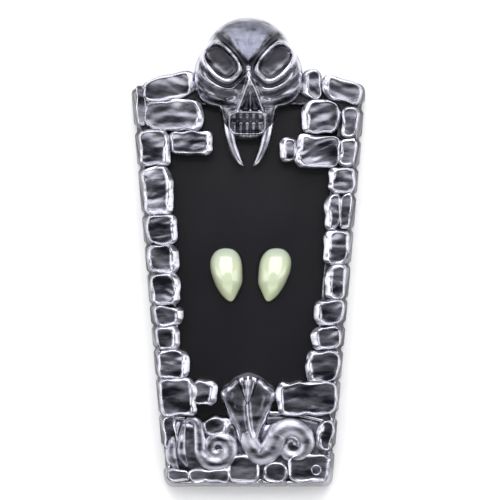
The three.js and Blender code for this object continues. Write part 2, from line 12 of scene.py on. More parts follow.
import bpy
import numpy as np
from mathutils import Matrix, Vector


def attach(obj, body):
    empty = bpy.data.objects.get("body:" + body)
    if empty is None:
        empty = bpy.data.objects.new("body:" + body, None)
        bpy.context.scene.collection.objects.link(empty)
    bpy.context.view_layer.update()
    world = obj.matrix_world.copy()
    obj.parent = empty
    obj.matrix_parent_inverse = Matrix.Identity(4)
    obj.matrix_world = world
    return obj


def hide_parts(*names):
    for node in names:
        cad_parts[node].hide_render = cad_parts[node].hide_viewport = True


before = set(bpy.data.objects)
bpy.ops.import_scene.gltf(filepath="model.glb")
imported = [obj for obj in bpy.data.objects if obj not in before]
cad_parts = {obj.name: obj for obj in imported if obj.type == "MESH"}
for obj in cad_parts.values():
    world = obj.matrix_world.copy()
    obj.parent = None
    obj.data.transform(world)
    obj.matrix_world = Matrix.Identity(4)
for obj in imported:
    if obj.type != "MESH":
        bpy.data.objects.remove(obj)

Array = np.ndarray
Socket = bpy.types.NodeSocket
MM = 0.001
BODY = "root"
# Vertex attributes: a tone of worn edges with painted highlight and of joints with painted shade,
# and a matt film with painted shade.
WEAR_AND_PAINTED_LIGHT = "wear_and_painted_light"
DULL_AND_SHADE = "dull_and_shade"
LOG = logging.getLogger("fang_case")

# Where the rows of stones begin and end, as shares of the body's length and half-width.
FOOT_ROW = 0.03
TOP_ROW = 0.92
FLANK = 0.94


class Slot(Enum):
    """Material slots of the record."""

    BLACK_PLASTIC = "black_plastic"
    BLACK_PANEL = "black_panel"
    SILVER = "silvered_plastic"
    TOOTH = "tooth_acrylic"


class Side(Enum):
    """Left and right as the front is seen, as the sign of X."""

    LEFT = -1
    RIGHT = 1


@dataclass(frozen=True)
class CaseSizes:
    """Driving sizes of the case, in millimetres."""

    body_length: float = 106.0
    gable_drop: float = 4.4
    foot_width: float = 42.2
    shoulder_width: float = 59.5
    corner_radius: float = 2.6
    skull_rise: float = 12.0
    back_thickness: float = 1.5
    seat_gap: float = 0.3
    panel_thickness: float = 2.4
    frame_height: float = 7.2
    stone_rise: float = 2.5
    draft: float = 1.5
    wall: float = 2.0
    side_border: float = 7.0
    top_border: float = 10.0
    foot_border: float = 16.5

    @property
    def foot_y(self) -> float:
        """Y of the foot, the whole case being centred on the origin."""
        return -(self.body_length + self.skull_rise) / 2

    @property
    def peak_y(self) -> float:
        """Y of the gable's peak."""
        return self.foot_y + self.body_length

    @property
    def shoulder_y(self) -> float:
        """Y of the shoulders, the widest place."""
        return self.peak_y - self.gable_drop

    @property
    def frame_z(self) -> float:
        """Z of the foot of the frame's wall."""
        return self.back_thickness + self.seat_gap

    @property
    def joint_z(self) -> float:
        """Z of the floor of the joints between the stones."""
        return self.frame_z + self.frame_height

    @property
    def panel_top(self) -> float:
        """Z of the face of the display panel."""
        return self.frame_z + self.panel_thickness

    @property
    def relief_foot(self) -> float:
        """Z where the relief ends over the panel."""
        return self.panel_top + self.seat_gap

    def half_width(self, y: Array | float) -> Array:
        """Half the width at Y: a straight line from the foot to the shoulders.

        Args:
            y: one Y or an array of them.

        Returns:
            The half-widths.
        """
        share = np.minimum((np.asarray(y) - self.foot_y) / (self.shoulder_y - self.foot_y), 1.0)
        return (self.foot_width + (self.shoulder_width - self.foot_width) * share) / 2

    def level(self, share: Array | float) -> Array:
        """Y at a share of the body's length above its foot."""
        return self.foot_y + np.asarray(share) * self.body_length


SIZES = CaseSizes()


@dataclass(frozen=True)
class Stone:
    """One stone: edges as shares of the half-width and of the body's length, as in the frame."""

    left: float
    right: float
    low: float
    high: float
    rise: float = 1.0
    slope: float = 0.0


STONES: tuple[Stone, ...] = (
    Stone(-0.95, -0.89, 0.86, 0.948, 0.8),
    Stone(-0.87, -0.46, 0.922, 0.975, 1, 0.025),
    Stone(-0.87, -0.41, 0.849, 0.913, 1.05),
    Stone(-0.95, -0.7, 0.765, 0.843),
    Stone(-0.67, -0.33, 0.79, 0.842, 0.9),
    Stone(-0.95, -0.7, 0.653, 0.755, 1.05),
    Stone(-0.95, -0.68, 0.58, 0.644, 0.95),
    Stone(-0.95, -0.69, 0.512, 0.573),
    Stone(-0.95, -0.69, 0.437, 0.505, 1.05),
    Stone(-0.95, -0.68, 0.387, 0.431, 0.9),
    Stone(-0.95, -0.72, 0.333, 0.381),
    Stone(-0.95, -0.64, 0.264, 0.326),
    Stone(-0.95, -0.58, 0.177, 0.257, 1.05),
    Stone(-0.95, -0.82, 0.1, 0.17, 0.8),
    Stone(-0.6, -0.36, 0.203, 0.255, 0.9),
    Stone(-0.49, -0.21, 0.13, 0.167, 0.8),
    Stone(0.46, 0.61, 0.922, 0.985, 0.9, -0.005),
    Stone(0.64, 0.94, 0.915, 0.965, 1, -0.025),
    Stone(0.48, 0.77, 0.842, 0.911, 1.05),
    Stone(0.81, 0.95, 0.833, 0.895, 0.95),
    Stone(0.29, 0.42, 0.776, 0.825, 0.9),
    Stone(0.43, 0.79, 0.762, 0.83),
    Stone(0.82, 0.95, 0.764, 0.823, 0.9),
    Stone(0.73, 0.95, 0.698, 0.755),
    Stone(0.72, 0.84, 0.616, 0.69, 1.05),
    Stone(0.86, 0.95, 0.616, 0.69, 0.95),
    Stone(0.73, 0.95, 0.533, 0.608),
    Stone(0.77, 0.95, 0.45, 0.525, 0.9),
    Stone(0.68, 0.95, 0.391, 0.444, 1.1),
    Stone(0.67, 0.95, 0.333, 0.38, 0.95, 0.008),
    Stone(0.62, 0.95, 0.257, 0.322),
    Stone(0.34, 0.95, 0.179, 0.25, 1.05),
    Stone(0.78, 0.95, 0.095, 0.16, 0.8),
    Stone(0.49, 0.92, 0.02, 0.08, 0.9),
    Stone(-0.92, -0.7, 0.02, 0.044, 0.8, -0.006),
    Stone(-0.67, -0.24, 0.018, 0.045, 0.8),
    Stone(-0.21, 0.12, 0.018, 0.075, 0.85),
    Stone(0.2, 0.44, 0.018, 0.06, 0.85),
)


def smooth_step(low: float, high: float, value: Array) -> Array:
    """Rises from 0 at low to 1 at high along 3t squared less 2t cubed."""
    t = np.clip((value - low) / (high - low), 0.0, 1.0)
    return t * t * (3 - 2 * t)


def bell(value: Array, width: float) -> Array:
    """A bell curve, exp of minus (value over width) squared."""
    return np.exp(-((value / width) ** 2))


def wave_noise(x: Array, y: Array, wavelength: float, seed: int, stretch: float = 1.0) -> Array:
    """Smooth noise: seven plane waves in seeded directions, summed and scaled to about one.

    Args:
        x: places across, in millimetres.
        y: places along, in millimetres.
        wavelength: mean wavelength in millimetres.
        seed: picks directions, wavelengths and phases.
        stretch: how much longer the waves are across than along.

    Returns:
        The noise at each place.
    """
    rng = np.random.default_rng(seed)
    total = np.zeros(np.broadcast(x, y).shape)
    for _ in range(7):
        angle, phase = rng.uniform(0, 2 * math.pi, 2)
        number = 2 * math.pi / (wavelength * rng.uniform(0.65, 1.5))
        total += np.cos(number * (np.cos(angle) * x / stretch + np.sin(angle) * y) + phase)
    return total / 2.6


def smooth_path(points: Array, count: int) -> Array:
    """Catmull-Rom curve through the points, sampled evenly in its parameter.

    Args:
        points: places or values, one row each.
        count: how many samples.

    Returns:
        The samples, one row each.
    """
    padded = np.vstack([2 * points[0] - points[1], points, 2 * points[-1] - points[-2]])
    place = np.linspace(0, len(points) - 1 - 1e-9, count)
    i = place.astype(int)
    t = (place - i)[:, None]
    a, b, c, d = padded[i], padded[i + 1], padded[i + 2], padded[i + 3]
    return 0.5 * (2 * b + (c - a) * t + (2 * a - 5 * b + 4 * c - d) * t**2
                  + (3 * b - a - 3 * c + d) * t**3)


@dataclass
class Skin:
    """Closed surfaces gathered into one mesh, with a tone of worn and painted light and a matt
    film with painted shade for each vertex.
    """

    points: list[Array] = field(default_factory=list)
    wear_and_painted_light: list[Array] = field(default_factory=list)
    dull_and_shade: list[Array] = field(default_factory=list)
    quads: list[Array] = field(default_factory=list)
    triangles: list[Array] = field(default_factory=list)
    count: int = 0

    def _add_grid(self, grid: Array, wear_and_painted_light: Array | float, dull_and_shade: Array | float,
                  wrap_rows: bool) -> int:
        """Adds a grid of points that closes on itself across, and along too if asked.

        Args:
            grid: points by row and column.
            wear_and_painted_light: one value, or values by row and column.
            dull_and_shade: likewise.
            wrap_rows: whether the last row meets the first.

        Returns:
            The index of the grid's first vertex.
        """
        rows, columns = grid.shape[:2]
        start = self.count
        index = start + np.arange(rows * columns).reshape(rows, columns)
        after = np.roll(index, -1, axis=1)
        last = rows if wrap_rows else rows - 1
        up, up_after = np.roll(index, -1, axis=0), np.roll(after, -1, axis=0)
        faces = np.stack([index, after, up_after, up], axis=-1)[:last]
        self.quads.append(faces.reshape(-1, 4))
        self.points.append(grid.reshape(-1, 3))
        self.wear_and_painted_light.append(np.broadcast_to(wear_and_painted_light, (rows, columns)).reshape(-1))
        self.dull_and_shade.append(np.broadcast_to(dull_and_shade, (rows, columns)).reshape(-1))
        self.count += rows * columns
        return start

    def add_rings(self, grid: Array, wear_and_painted_light: Array | float = 0.0, dull_and_shade: Array | float = 0.0) -> None:
        """Adds rings from the first to the last, each end closed by a fan to its middle.

        Args:
            grid: points by ring and column, counter-clockwise round the way the rings go.
            wear_and_painted_light: one value, or values by ring and column.
            dull_and_shade: likewise.
        """
        rows, columns = grid.shape[:2]
        start = self._add_grid(grid, wear_and_painted_light, dull_and_shade, wrap_rows=False)
        column = np.arange(columns)
        following = (column + 1) % columns
        first, last = start, start + (rows - 1) * columns
        low, high = self.count, self.count + 1
        self.triangles.append(np.stack(
            [np.full(columns, low), first + following, first + column], axis=-1))
        self.triangles.append(np.stack(
            [np.full(columns, high), last + column, last + following], axis=-1))
        self.points.append(np.stack([grid[0].mean(axis=0), grid[-1].mean(axis=0)]))
        for values, kept in ((wear_and_painted_light, self.wear_and_painted_light), (dull_and_shade, self.dull_and_shade)):
            ends = np.broadcast_to(values, (rows, columns))
            kept.append(np.array([ends[0].mean(), ends[-1].mean()]))
        self.count += 2

    def add_loop(self, grid: Array, wear_and_painted_light: Array | float = 0.0) -> None:
        """Adds a profile carried round a closed path: the grid closes on itself both ways."""
        self._add_grid(grid, wear_and_painted_light, 0.0, wrap_rows=True)

    def build(self, name: str, material: bpy.types.Material) -> bpy.types.Object:
        """Makes the mesh in metres and its object, shaded smooth.

        Args:
            name: the piece's name.
            material: its finish.

        Returns:
            The new object, at the origin.
        """
        mesh = bpy.data.meshes.new(name)
        faces = np.concatenate(self.quads).tolist()
        if self.triangles:
            faces += np.concatenate(self.triangles).tolist()
        mesh.from_pydata((np.concatenate(self.points) * MM).tolist(), [], faces)
        for label, values in ((WEAR_AND_PAINTED_LIGHT, self.wear_and_painted_light), (DULL_AND_SHADE, self.dull_and_shade)):
            layer = mesh.attributes.new(label, "FLOAT", "POINT")
            layer.data.foreach_set("value", np.concatenate(values).astype(np.float32))
        mesh.shade_smooth()
        mesh.materials.append(material)
        piece = bpy.data.objects.new(name, mesh)
        bpy.context.scene.collection.objects.link(piece)
        return piece


def install(piece: bpy.types.Object, slot: Slot, *nodes: str) -> None:
    """Sets a piece on the case's body, in place of the nodes that it stands for.

    Args:
        piece: the new piece.
        slot: its material slot; not used.
        nodes: names of the frame's nodes that it replaces.
    """
    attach(piece, BODY)
    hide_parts(*nodes)
    LOG.info("%s: %d faces", piece.name, len(piece.data.polygons))


def rounded_polygon(corners: Array, radius: float, sides: tuple[int, ...], arc: int = 8) -> Array:
    """Outline with its corners rounded by quadratic curves and a set number of points.

    Args:
        corners: the corners, counter-clockwise.
        radius: how far each curve starts from its corner.
        sides: points on the straight from each corner to the next.
        arc: points on each curve.

    Returns:
        The outline, one row a point.
    """
    back = np.roll(corners, 1, axis=0) - corners
    on = np.roll(corners, -1, axis=0) - corners
    starts = corners + back / np.linalg.norm(back, axis=1)[:, None] * radius
    ends = corners + on / np.linalg.norm(on, axis=1)[:, None] * radius
    t = np.linspace(0, 1, arc)[:, None]
    outline = []
    for i, corner in enumerate(corners):
        curve = (1 - t) ** 2 * starts[i] + 2 * t * (1 - t) * corner + t**2 * ends[i]
        share = np.linspace(0, 1, sides[i] + 2)[1:-1, None]
        straight = ends[i] + (starts[(i + 1) % len(corners)] - ends[i]) * share
        outline += [curve, straight]
    return np.concatenate(outline)


def rounded_boxes(edges: Array, radius: Array, across: int, along: int, arc: int = 5) -> Array:
    """Rounded rectangles, one for each row of edges, with matching points.

    Args:
        edges: low x, high x, low y and high y of each rectangle.
        radius: corner radius of each rectangle.
        across: points on each side along X.
        along: points on each side along Y.
        arc: points on each corner.

    Returns:
        The outlines, by rectangle and point.
    """
    low_x, high_x, low_y, high_y = (edge[:, None] for edge in edges.T)
    r = radius[:, None]
    quarter = np.linspace(0, math.pi / 2, arc)[None, :]
    xs, ys = [], []
    middles = ((high_x - r, low_y + r), (high_x - r, high_y - r),
               (low_x + r, high_y - r), (low_x + r, low_y + r))
    for i, (x, y) in enumerate(middles):
        angle = quarter + (i - 1) * math.pi / 2
        xs.append(x + r * np.cos(angle))
        ys.append(y + r * np.sin(angle))
        steps = along if i % 2 == 0 else across
        share = np.linspace(0, 1, steps + 2)[None, 1:-1]
        next_x, next_y = middles[(i + 1) % 4]
        turn = i * math.pi / 2
        out_x, out_y = r * math.cos(turn), r * math.sin(turn)
        xs.append(x + out_x + (next_x - x) * share)
        ys.append(y + out_y + (next_y - y) * share)
    return np.stack([np.concatenate(xs, axis=1), np.concatenate(ys, axis=1)], axis=-1)


def sweep(path: Array, radii: Array, tallness: float = 1.0, columns: int = 20) -> Array:
    """An elliptical section carried along a path that lies nearly flat.

    A ring is the path's point plus the radius times cosine along the level normal, and the
    radius times tallness times sine along Z.

    Args:
        path: points of the middle line.
        radii: half the width at each point.
        tallness: height of the section over its width.
        columns: points round each ring.

    Returns:
        Points by ring and column.
    """
    tangent = np.gradient(path, axis=0)
    level = tangent[:, :2] / np.maximum(np.linalg.norm(tangent[:, :2], axis=1), 1e-9)[:, None]
    angle = np.linspace(0, 2 * math.pi, columns, endpoint=False)
    side = radii[:, None] * np.cos(angle)
    up = radii[:, None] * np.sin(angle) * tallness
    return np.stack([
        path[:, None, 0] - level[:, None, 1] * side,
        path[:, None, 1] + level[:, None, 0] * side,
        path[:, None, 2] + up,
    ], axis=-1)


def socket_key(name: str) -> str | int:
    """An input's name, or its number where the name is digits."""
    return int(name) if name.isdigit() else name


def add_node(tree: bpy.types.NodeTree, kind: str, settings: dict[str, Any] | None = None,
             links: dict[str, Any] | None = None) -> bpy.types.Node:
    """Adds a node, sets its properties and sockets, and links sockets to earlier nodes.

    Args:
        tree: the node tree.
        kind: the node's type name.
        settings: property or input names with their values.
        links: input names with the output sockets that feed them.

    Returns:
        The new node.
    """
    node = tree.nodes.new(kind)
    for name, value in (settings or {}).items():
        if hasattr(node, name):
            setattr(node, name, value)
        else:
            node.inputs[socket_key(name)].default_value = value
    for name, socket in (links or {}).items():
        tree.links.new(node.inputs[socket_key(name)], socket)
    return node


def hex_linear(code: str) -> tuple[float, float, float, float]:
    """Turns an sRGB hex colour to linear light, by the standard's curve.

    Args:
        code: a hash and six hex digits.

    Returns:
        Red, green, blue and full alpha.
    """
    values = [int(code[i:i + 2], 16) / 255 for i in (1, 3, 5)]
    linear = [v / 12.92 if v <= 0.04045 else ((v + 0.055) / 1.055) ** 2.4 for v in values]
    return (*linear, 1.0)


def per_metre(size_mm: float) -> float:
    """Texture scale on Object coordinates that gives features of a size in millimetres."""
    return 1 / (size_mm * MM)


@dataclass(frozen=True)
class SilveredPlastic:
    """Vacuum-metallised moulded plastic: a mirror film, smoky on the faces and light on its edges.

    The film is so thin that the cast mottle under it bends the reflections. The edges are light
    partly from handling and partly as painted highlight, and the joints are dark partly from a
    thin black paint wiped over the film and dried matt there, and partly as painted shade.
    """

    face: str = "#A6A6B1"
    smoke: str = "#3C3C44"
    # Colour of the light edges: worn by handling and painted highlight.
    rim: str = "#CFCED8"
    # Colour of the dark joints and hollows: thin black paint and painted shade.
    wash_and_shade: str = "#2E2E34"
    tint: str = "#636577"
    tint_light: str = "#9698AC"
    roughness: float = 0.22
    mottle_mm: float = 2.0
    streak_mm: float = 0.6
    streak_angle: float = 24.0
    wash_and_shade_range: tuple[float, float] = (-0.65, -0.2)

    def make(self) -> bpy.types.Material:
        """Builds the material, which reads the tone and the matt film stored at each vertex, both
        partly painted light and shade.

        Returns:
            The material of the silvered slot.
        """
        material = bpy.data.materials.new(Slot.SILVER.value)
        material.use_nodes = True
        tree = material.node_tree
        tree.nodes.clear()
        coords = add_node(tree, "ShaderNodeTexCoord").outputs["Object"]
        streaks = add_node(tree, "ShaderNodeMapping", {
            "Scale": (0.35, 1.0, 1.0), "Rotation": (0.0, 0.0, math.radians(self.streak_angle)),
        }, {"Vector": coords}).outputs["Vector"]
        mottle = add_node(tree, "ShaderNodeTexNoise",
                          {"Scale": per_metre(self.mottle_mm), "Detail": 5.0},
                          {"Vector": streaks}).outputs["Fac"]
        grain = add_node(tree, "ShaderNodeTexNoise",
                         {"Scale": per_metre(self.streak_mm), "Detail": 3.0},
                         {"Vector": streaks}).outputs["Fac"]
        wear_and_painted_light = add_node(tree, "ShaderNodeAttribute", {"attribute_name": WEAR_AND_PAINTED_LIGHT}).outputs["Fac"]
        dull_and_shade = add_node(tree, "ShaderNodeAttribute", {"attribute_name": DULL_AND_SHADE}).outputs["Fac"]
        shader = add_node(tree, "ShaderNodeBsdfPrincipled", links={
            "Base Color": self.colour(tree, mottle, wear_and_painted_light, dull_and_shade),
            "Metallic": self.metal(tree, wear_and_painted_light),
            "Roughness": self.film(tree, mottle, wear_and_painted_light, dull_and_shade),
            "Normal": self.casting(tree, mottle, grain)})
        add_node(tree, "ShaderNodeOutputMaterial", links={"Surface": shader.outputs["BSDF"]})
        return material

    def colour(self, tree: bpy.types.NodeTree, mottle: Socket, wear_and_painted_light: Socket,
               dull_and_shade: Socket) -> Socket:
        """Mixes smoky faces, light edges worn and painted highlight, dark joints of black paint
        and painted shade, and the cool tint of the matt forehead.

        Args:
            tree: the node tree.
            mottle: noise of the casting, which makes the smoke cloudy and the edges ragged.
            wear_and_painted_light: 1 on a light edge, worn and painted highlight, 0 on a face and
                below 0 in a joint darkened by black paint and painted shade.
            dull_and_shade: 1 where the film is dullest; on the forehead and in the sockets partly
                painted shade.

        Returns:
            The colour.
        """
        smoking = add_node(tree, "ShaderNodeMapRange", {"From Min": 0.36, "From Max": 0.66},
                           {"Value": mottle}).outputs[0]
        faces = add_node(tree, "ShaderNodeMix", {
            "data_type": "RGBA", "6": hex_linear(self.smoke), "7": hex_linear(self.face),
        }, {"0": smoking}).outputs[2]
        # Light edges in the rim colour: worn by handling and painted highlight.
        ragged = add_node(tree, "ShaderNodeMath", {"operation": "MULTIPLY_ADD", "1": 0.5},
                          {"0": mottle, "2": wear_and_painted_light}).outputs[0]
        edge = add_node(tree, "ShaderNodeMapRange", {"From Min": 0.45, "From Max": 1.15},
                        {"Value": ragged}).outputs[0]
        rubbed_and_highlit = add_node(tree, "ShaderNodeMix", {
            "data_type": "RGBA", "7": hex_linear(self.rim)}, {"0": edge, "6": faces}).outputs[2]
        # Dark joints and hollows: thin black paint and painted shade.
        clear_of_wash_and_shade = add_node(tree, "ShaderNodeMapRange", {"From Min": -0.45, "From Max": 0.05},
                            {"Value": wear_and_painted_light}).outputs[0]
        metal = add_node(tree, "ShaderNodeMix", {
            "data_type": "RGBA", "6": hex_linear(self.wash_and_shade)},
            {"0": clear_of_wash_and_shade, "7": rubbed_and_highlit}).outputs[2]
        tinting = add_node(tree, "ShaderNodeMapRange", {"From Min": 0.3, "From Max": 1.0},
                           {"Value": dull_and_shade}).outputs[0]
        tints = add_node(tree, "ShaderNodeMix", {
            "data_type": "RGBA", "6": hex_linear(self.tint), "7": hex_linear(self.tint_light),
        }, {"0": mottle}).outputs[2]
        return add_node(tree, "ShaderNodeMix", {"data_type": "RGBA"},
                        {"0": tinting, "6": metal, "7": tints}).outputs[2]

    def metal(self, tree: bpy.types.NodeTree, wear_and_painted_light: Socket) -> Socket:
        """Hides the metal where the joints are dark with black paint and painted shade: nearly
        none in a joint, all of it on a face.

        Args:
            tree: the node tree.
            wear_and_painted_light: the tone, below 0 in a joint darkened by black paint and
                painted shade.

        Returns:
            The metallic share.
        """
        low, high = self.wash_and_shade_range
        return add_node(tree, "ShaderNodeMapRange", {
            "From Min": low, "From Max": high, "To Min": 0.1, "To Max": 1.0,
        }, {"Value": wear_and_painted_light}).outputs[0]

    def film(self, tree: bpy.types.NodeTree, mottle: Socket, wear_and_painted_light: Socket,
             dull_and_shade: Socket) -> Socket:
        """Makes the reflections cloudy: sharp on clear film, soft on matt film, matt on the
        darkened joints.

        Args:
            tree: the node tree.
            mottle: noise of the casting.
            wear_and_painted_light: the tone, below 0 in a joint darkened by black paint and
                painted shade.
            dull_and_shade: 1 where the film is dullest; on the forehead and in the sockets partly
                painted shade.

        Returns:
            The roughness.
        """
        cloudy = add_node(tree, "ShaderNodeMapRange", {
            "From Min": 0.3, "From Max": 0.7,
            "To Min": self.roughness - 0.06, "To Max": self.roughness + 0.14,
        }, {"Value": mottle}).outputs[0]
        low, high = self.wash_and_shade_range
        wash_and_shade_matt = add_node(tree, "ShaderNodeMapRange", {
            "From Min": low, "From Max": high, "To Min": 0.4, "To Max": 0.0,
        }, {"Value": wear_and_painted_light}).outputs[0]
        matt = add_node(tree, "ShaderNodeMath", {"operation": "ADD"},
                        {"0": cloudy, "1": wash_and_shade_matt}).outputs[0]
        return add_node(tree, "ShaderNodeMath", {"operation": "MULTIPLY_ADD", "1": 0.4},
                        {"0": dull_and_shade, "2": matt}).outputs[0]

    @staticmethod
    def casting(tree: bpy.types.NodeTree, mottle: Socket, grain: Socket) -> Socket:
        """Bends the film by the coarse and the fine unevenness of the casting under it.

        Args:
            tree: the node tree.
            mottle: the coarse noise.
            grain: the fine noise.

        Returns:
            The bent normal.
        """
        coarse = add_node(tree, "ShaderNodeBump", {"Strength": 0.25, "Distance": 0.12 * MM},
                          {"Height": mottle}).outputs["Normal"]
        return add_node(tree, "ShaderNodeBump", {"Strength": 0.15, "Distance": 0.04 * MM},
                        {"Height": grain, "Normal": coarse}).outputs["Normal"]


@dataclass(frozen=True)
class ToothAcrylic:
    """Polished dental acrylic, self-coloured pale green-ivory, a little translucent.

    The clear coat is the polish and gives the sharp white patch. The thin tip lets light through
    and is coloured lighter and warmer, partly its own colour and partly painted light, and the
    thick gum end is coloured darker and cooler, partly its own colour and partly painted shade
    where the key light falls strongest.
    """

    body: str = "#C6CDB4"
    shade: str = "#B6C19F"
    gum: str = "#A9B5AC"
    tip: str = "#DEE8BE"
    gum_mm: tuple[float, float] = (-3.0, 1.0)
    tip_mm: tuple[float, float] = (-7.5, -11.5)
    cloud_mm: float = 4.0

    def make(self) -> bpy.types.Material:
        """Builds the material.

        Returns:
            The material of the tooth slot.
        """
        material = bpy.data.materials.new(Slot.TOOTH.value)
        material.use_nodes = True
        tree = material.node_tree
        tree.nodes.clear()
        coords = add_node(tree, "ShaderNodeTexCoord").outputs["Object"]
        cloud = add_node(tree, "ShaderNodeTexNoise",
                         {"Scale": per_metre(self.cloud_mm), "Detail": 2.0},
                         {"Vector": coords}).outputs["Fac"]
        colour = add_node(tree, "ShaderNodeMix", {
            "data_type": "RGBA", "6": hex_linear(self.shade), "7": hex_linear(self.body),
        }, {"0": cloud}).outputs[2]
        along = add_node(tree, "ShaderNodeSeparateXYZ", links={"Vector": coords}).outputs["Y"]
        # The gum end is darker and cooler and the tip lighter and warmer: partly the acrylic's own
        # colour, partly painted shade and painted light.
        for (start, end), most, end_colour in ((self.gum_mm, 0.6, self.gum),
                                               (self.tip_mm, 1.0, self.tip)):
            share = add_node(tree, "ShaderNodeMapRange", {
                "From Min": start * MM, "From Max": end * MM, "To Max": most,
            }, {"Value": along}).outputs[0]
            colour = add_node(tree, "ShaderNodeMix", {
                "data_type": "RGBA", "7": hex_linear(end_colour)},
                {"0": share, "6": colour}).outputs[2]
        ripple = add_node(tree, "ShaderNodeBump", {"Strength": 0.12, "Distance": 0.1 * MM},
                          {"Height": cloud}).outputs["Normal"]
        shader = add_node(tree, "ShaderNodeBsdfPrincipled", {
            "Roughness": 0.16, "IOR": 1.49, "Subsurface Weight": 0.25,
            "Subsurface Radius": (1.0, 1.0, 0.6), "Subsurface Scale": 1.2 * MM,
            "Coat Weight": 1.0, "Coat Roughness": 0.06,
        }, {"Base Color": colour, "Normal": ripple})
        add_node(tree, "ShaderNodeOutputMaterial", links={"Surface": shader.outputs["BSDF"]})
        return material


@dataclass(frozen=True)
class BlackPlastic:
    """Injection-moulded black polystyrene, smooth or with a fine spark texture.

    A smooth mould gives the panel its soft gloss, and the spark-eroded one breaks the shine of
    the back into a matt sheen.
    """

    slot: Slot
    colour: str = "#232428"
    roughness: float = 0.4
    texture_mm: float = 0.5
    cloud_mm: float = 15.0
    texture: float = 0.1

    def make(self) -> bpy.types.Material:
        """Builds the material.

        Returns:
            The material of its slot.
        """
        material = bpy.data.materials.new(self.slot.value)
        material.use_nodes = True
        tree = material.node_tree
        tree.nodes.clear()
        coords = add_node(tree, "ShaderNodeTexCoord").outputs["Object"]
        grain = add_node(tree, "ShaderNodeTexNoise",
                         {"Scale": per_metre(self.texture_mm), "Detail": 3.0},
                         {"Vector": coords}).outputs["Fac"]
        cloud = add_node(tree, "ShaderNodeTexNoise",
                         {"Scale": per_metre(self.cloud_mm), "Detail": 2.0},
                         {"Vector": coords}).outputs["Fac"]
        rough = add_node(tree, "ShaderNodeMapRange", {
            "To Min": self.roughness - 0.05, "To Max": self.roughness + 0.05,
        }, {"Value": cloud}).outputs[0]
        bump = add_node(tree, "ShaderNodeBump", {"Strength": self.texture, "Distance": 0.05 * MM},
                        {"Height": grain}).outputs["Normal"]
        shader = add_node(tree, "ShaderNodeBsdfPrincipled", {
            "Base Color": hex_linear(self.colour), "IOR": 1.5,
        }, {"Roughness": rough, "Normal": bump})
        add_node(tree, "ShaderNodeOutputMaterial", links={"Surface": shader.outputs["BSDF"]})
        return material


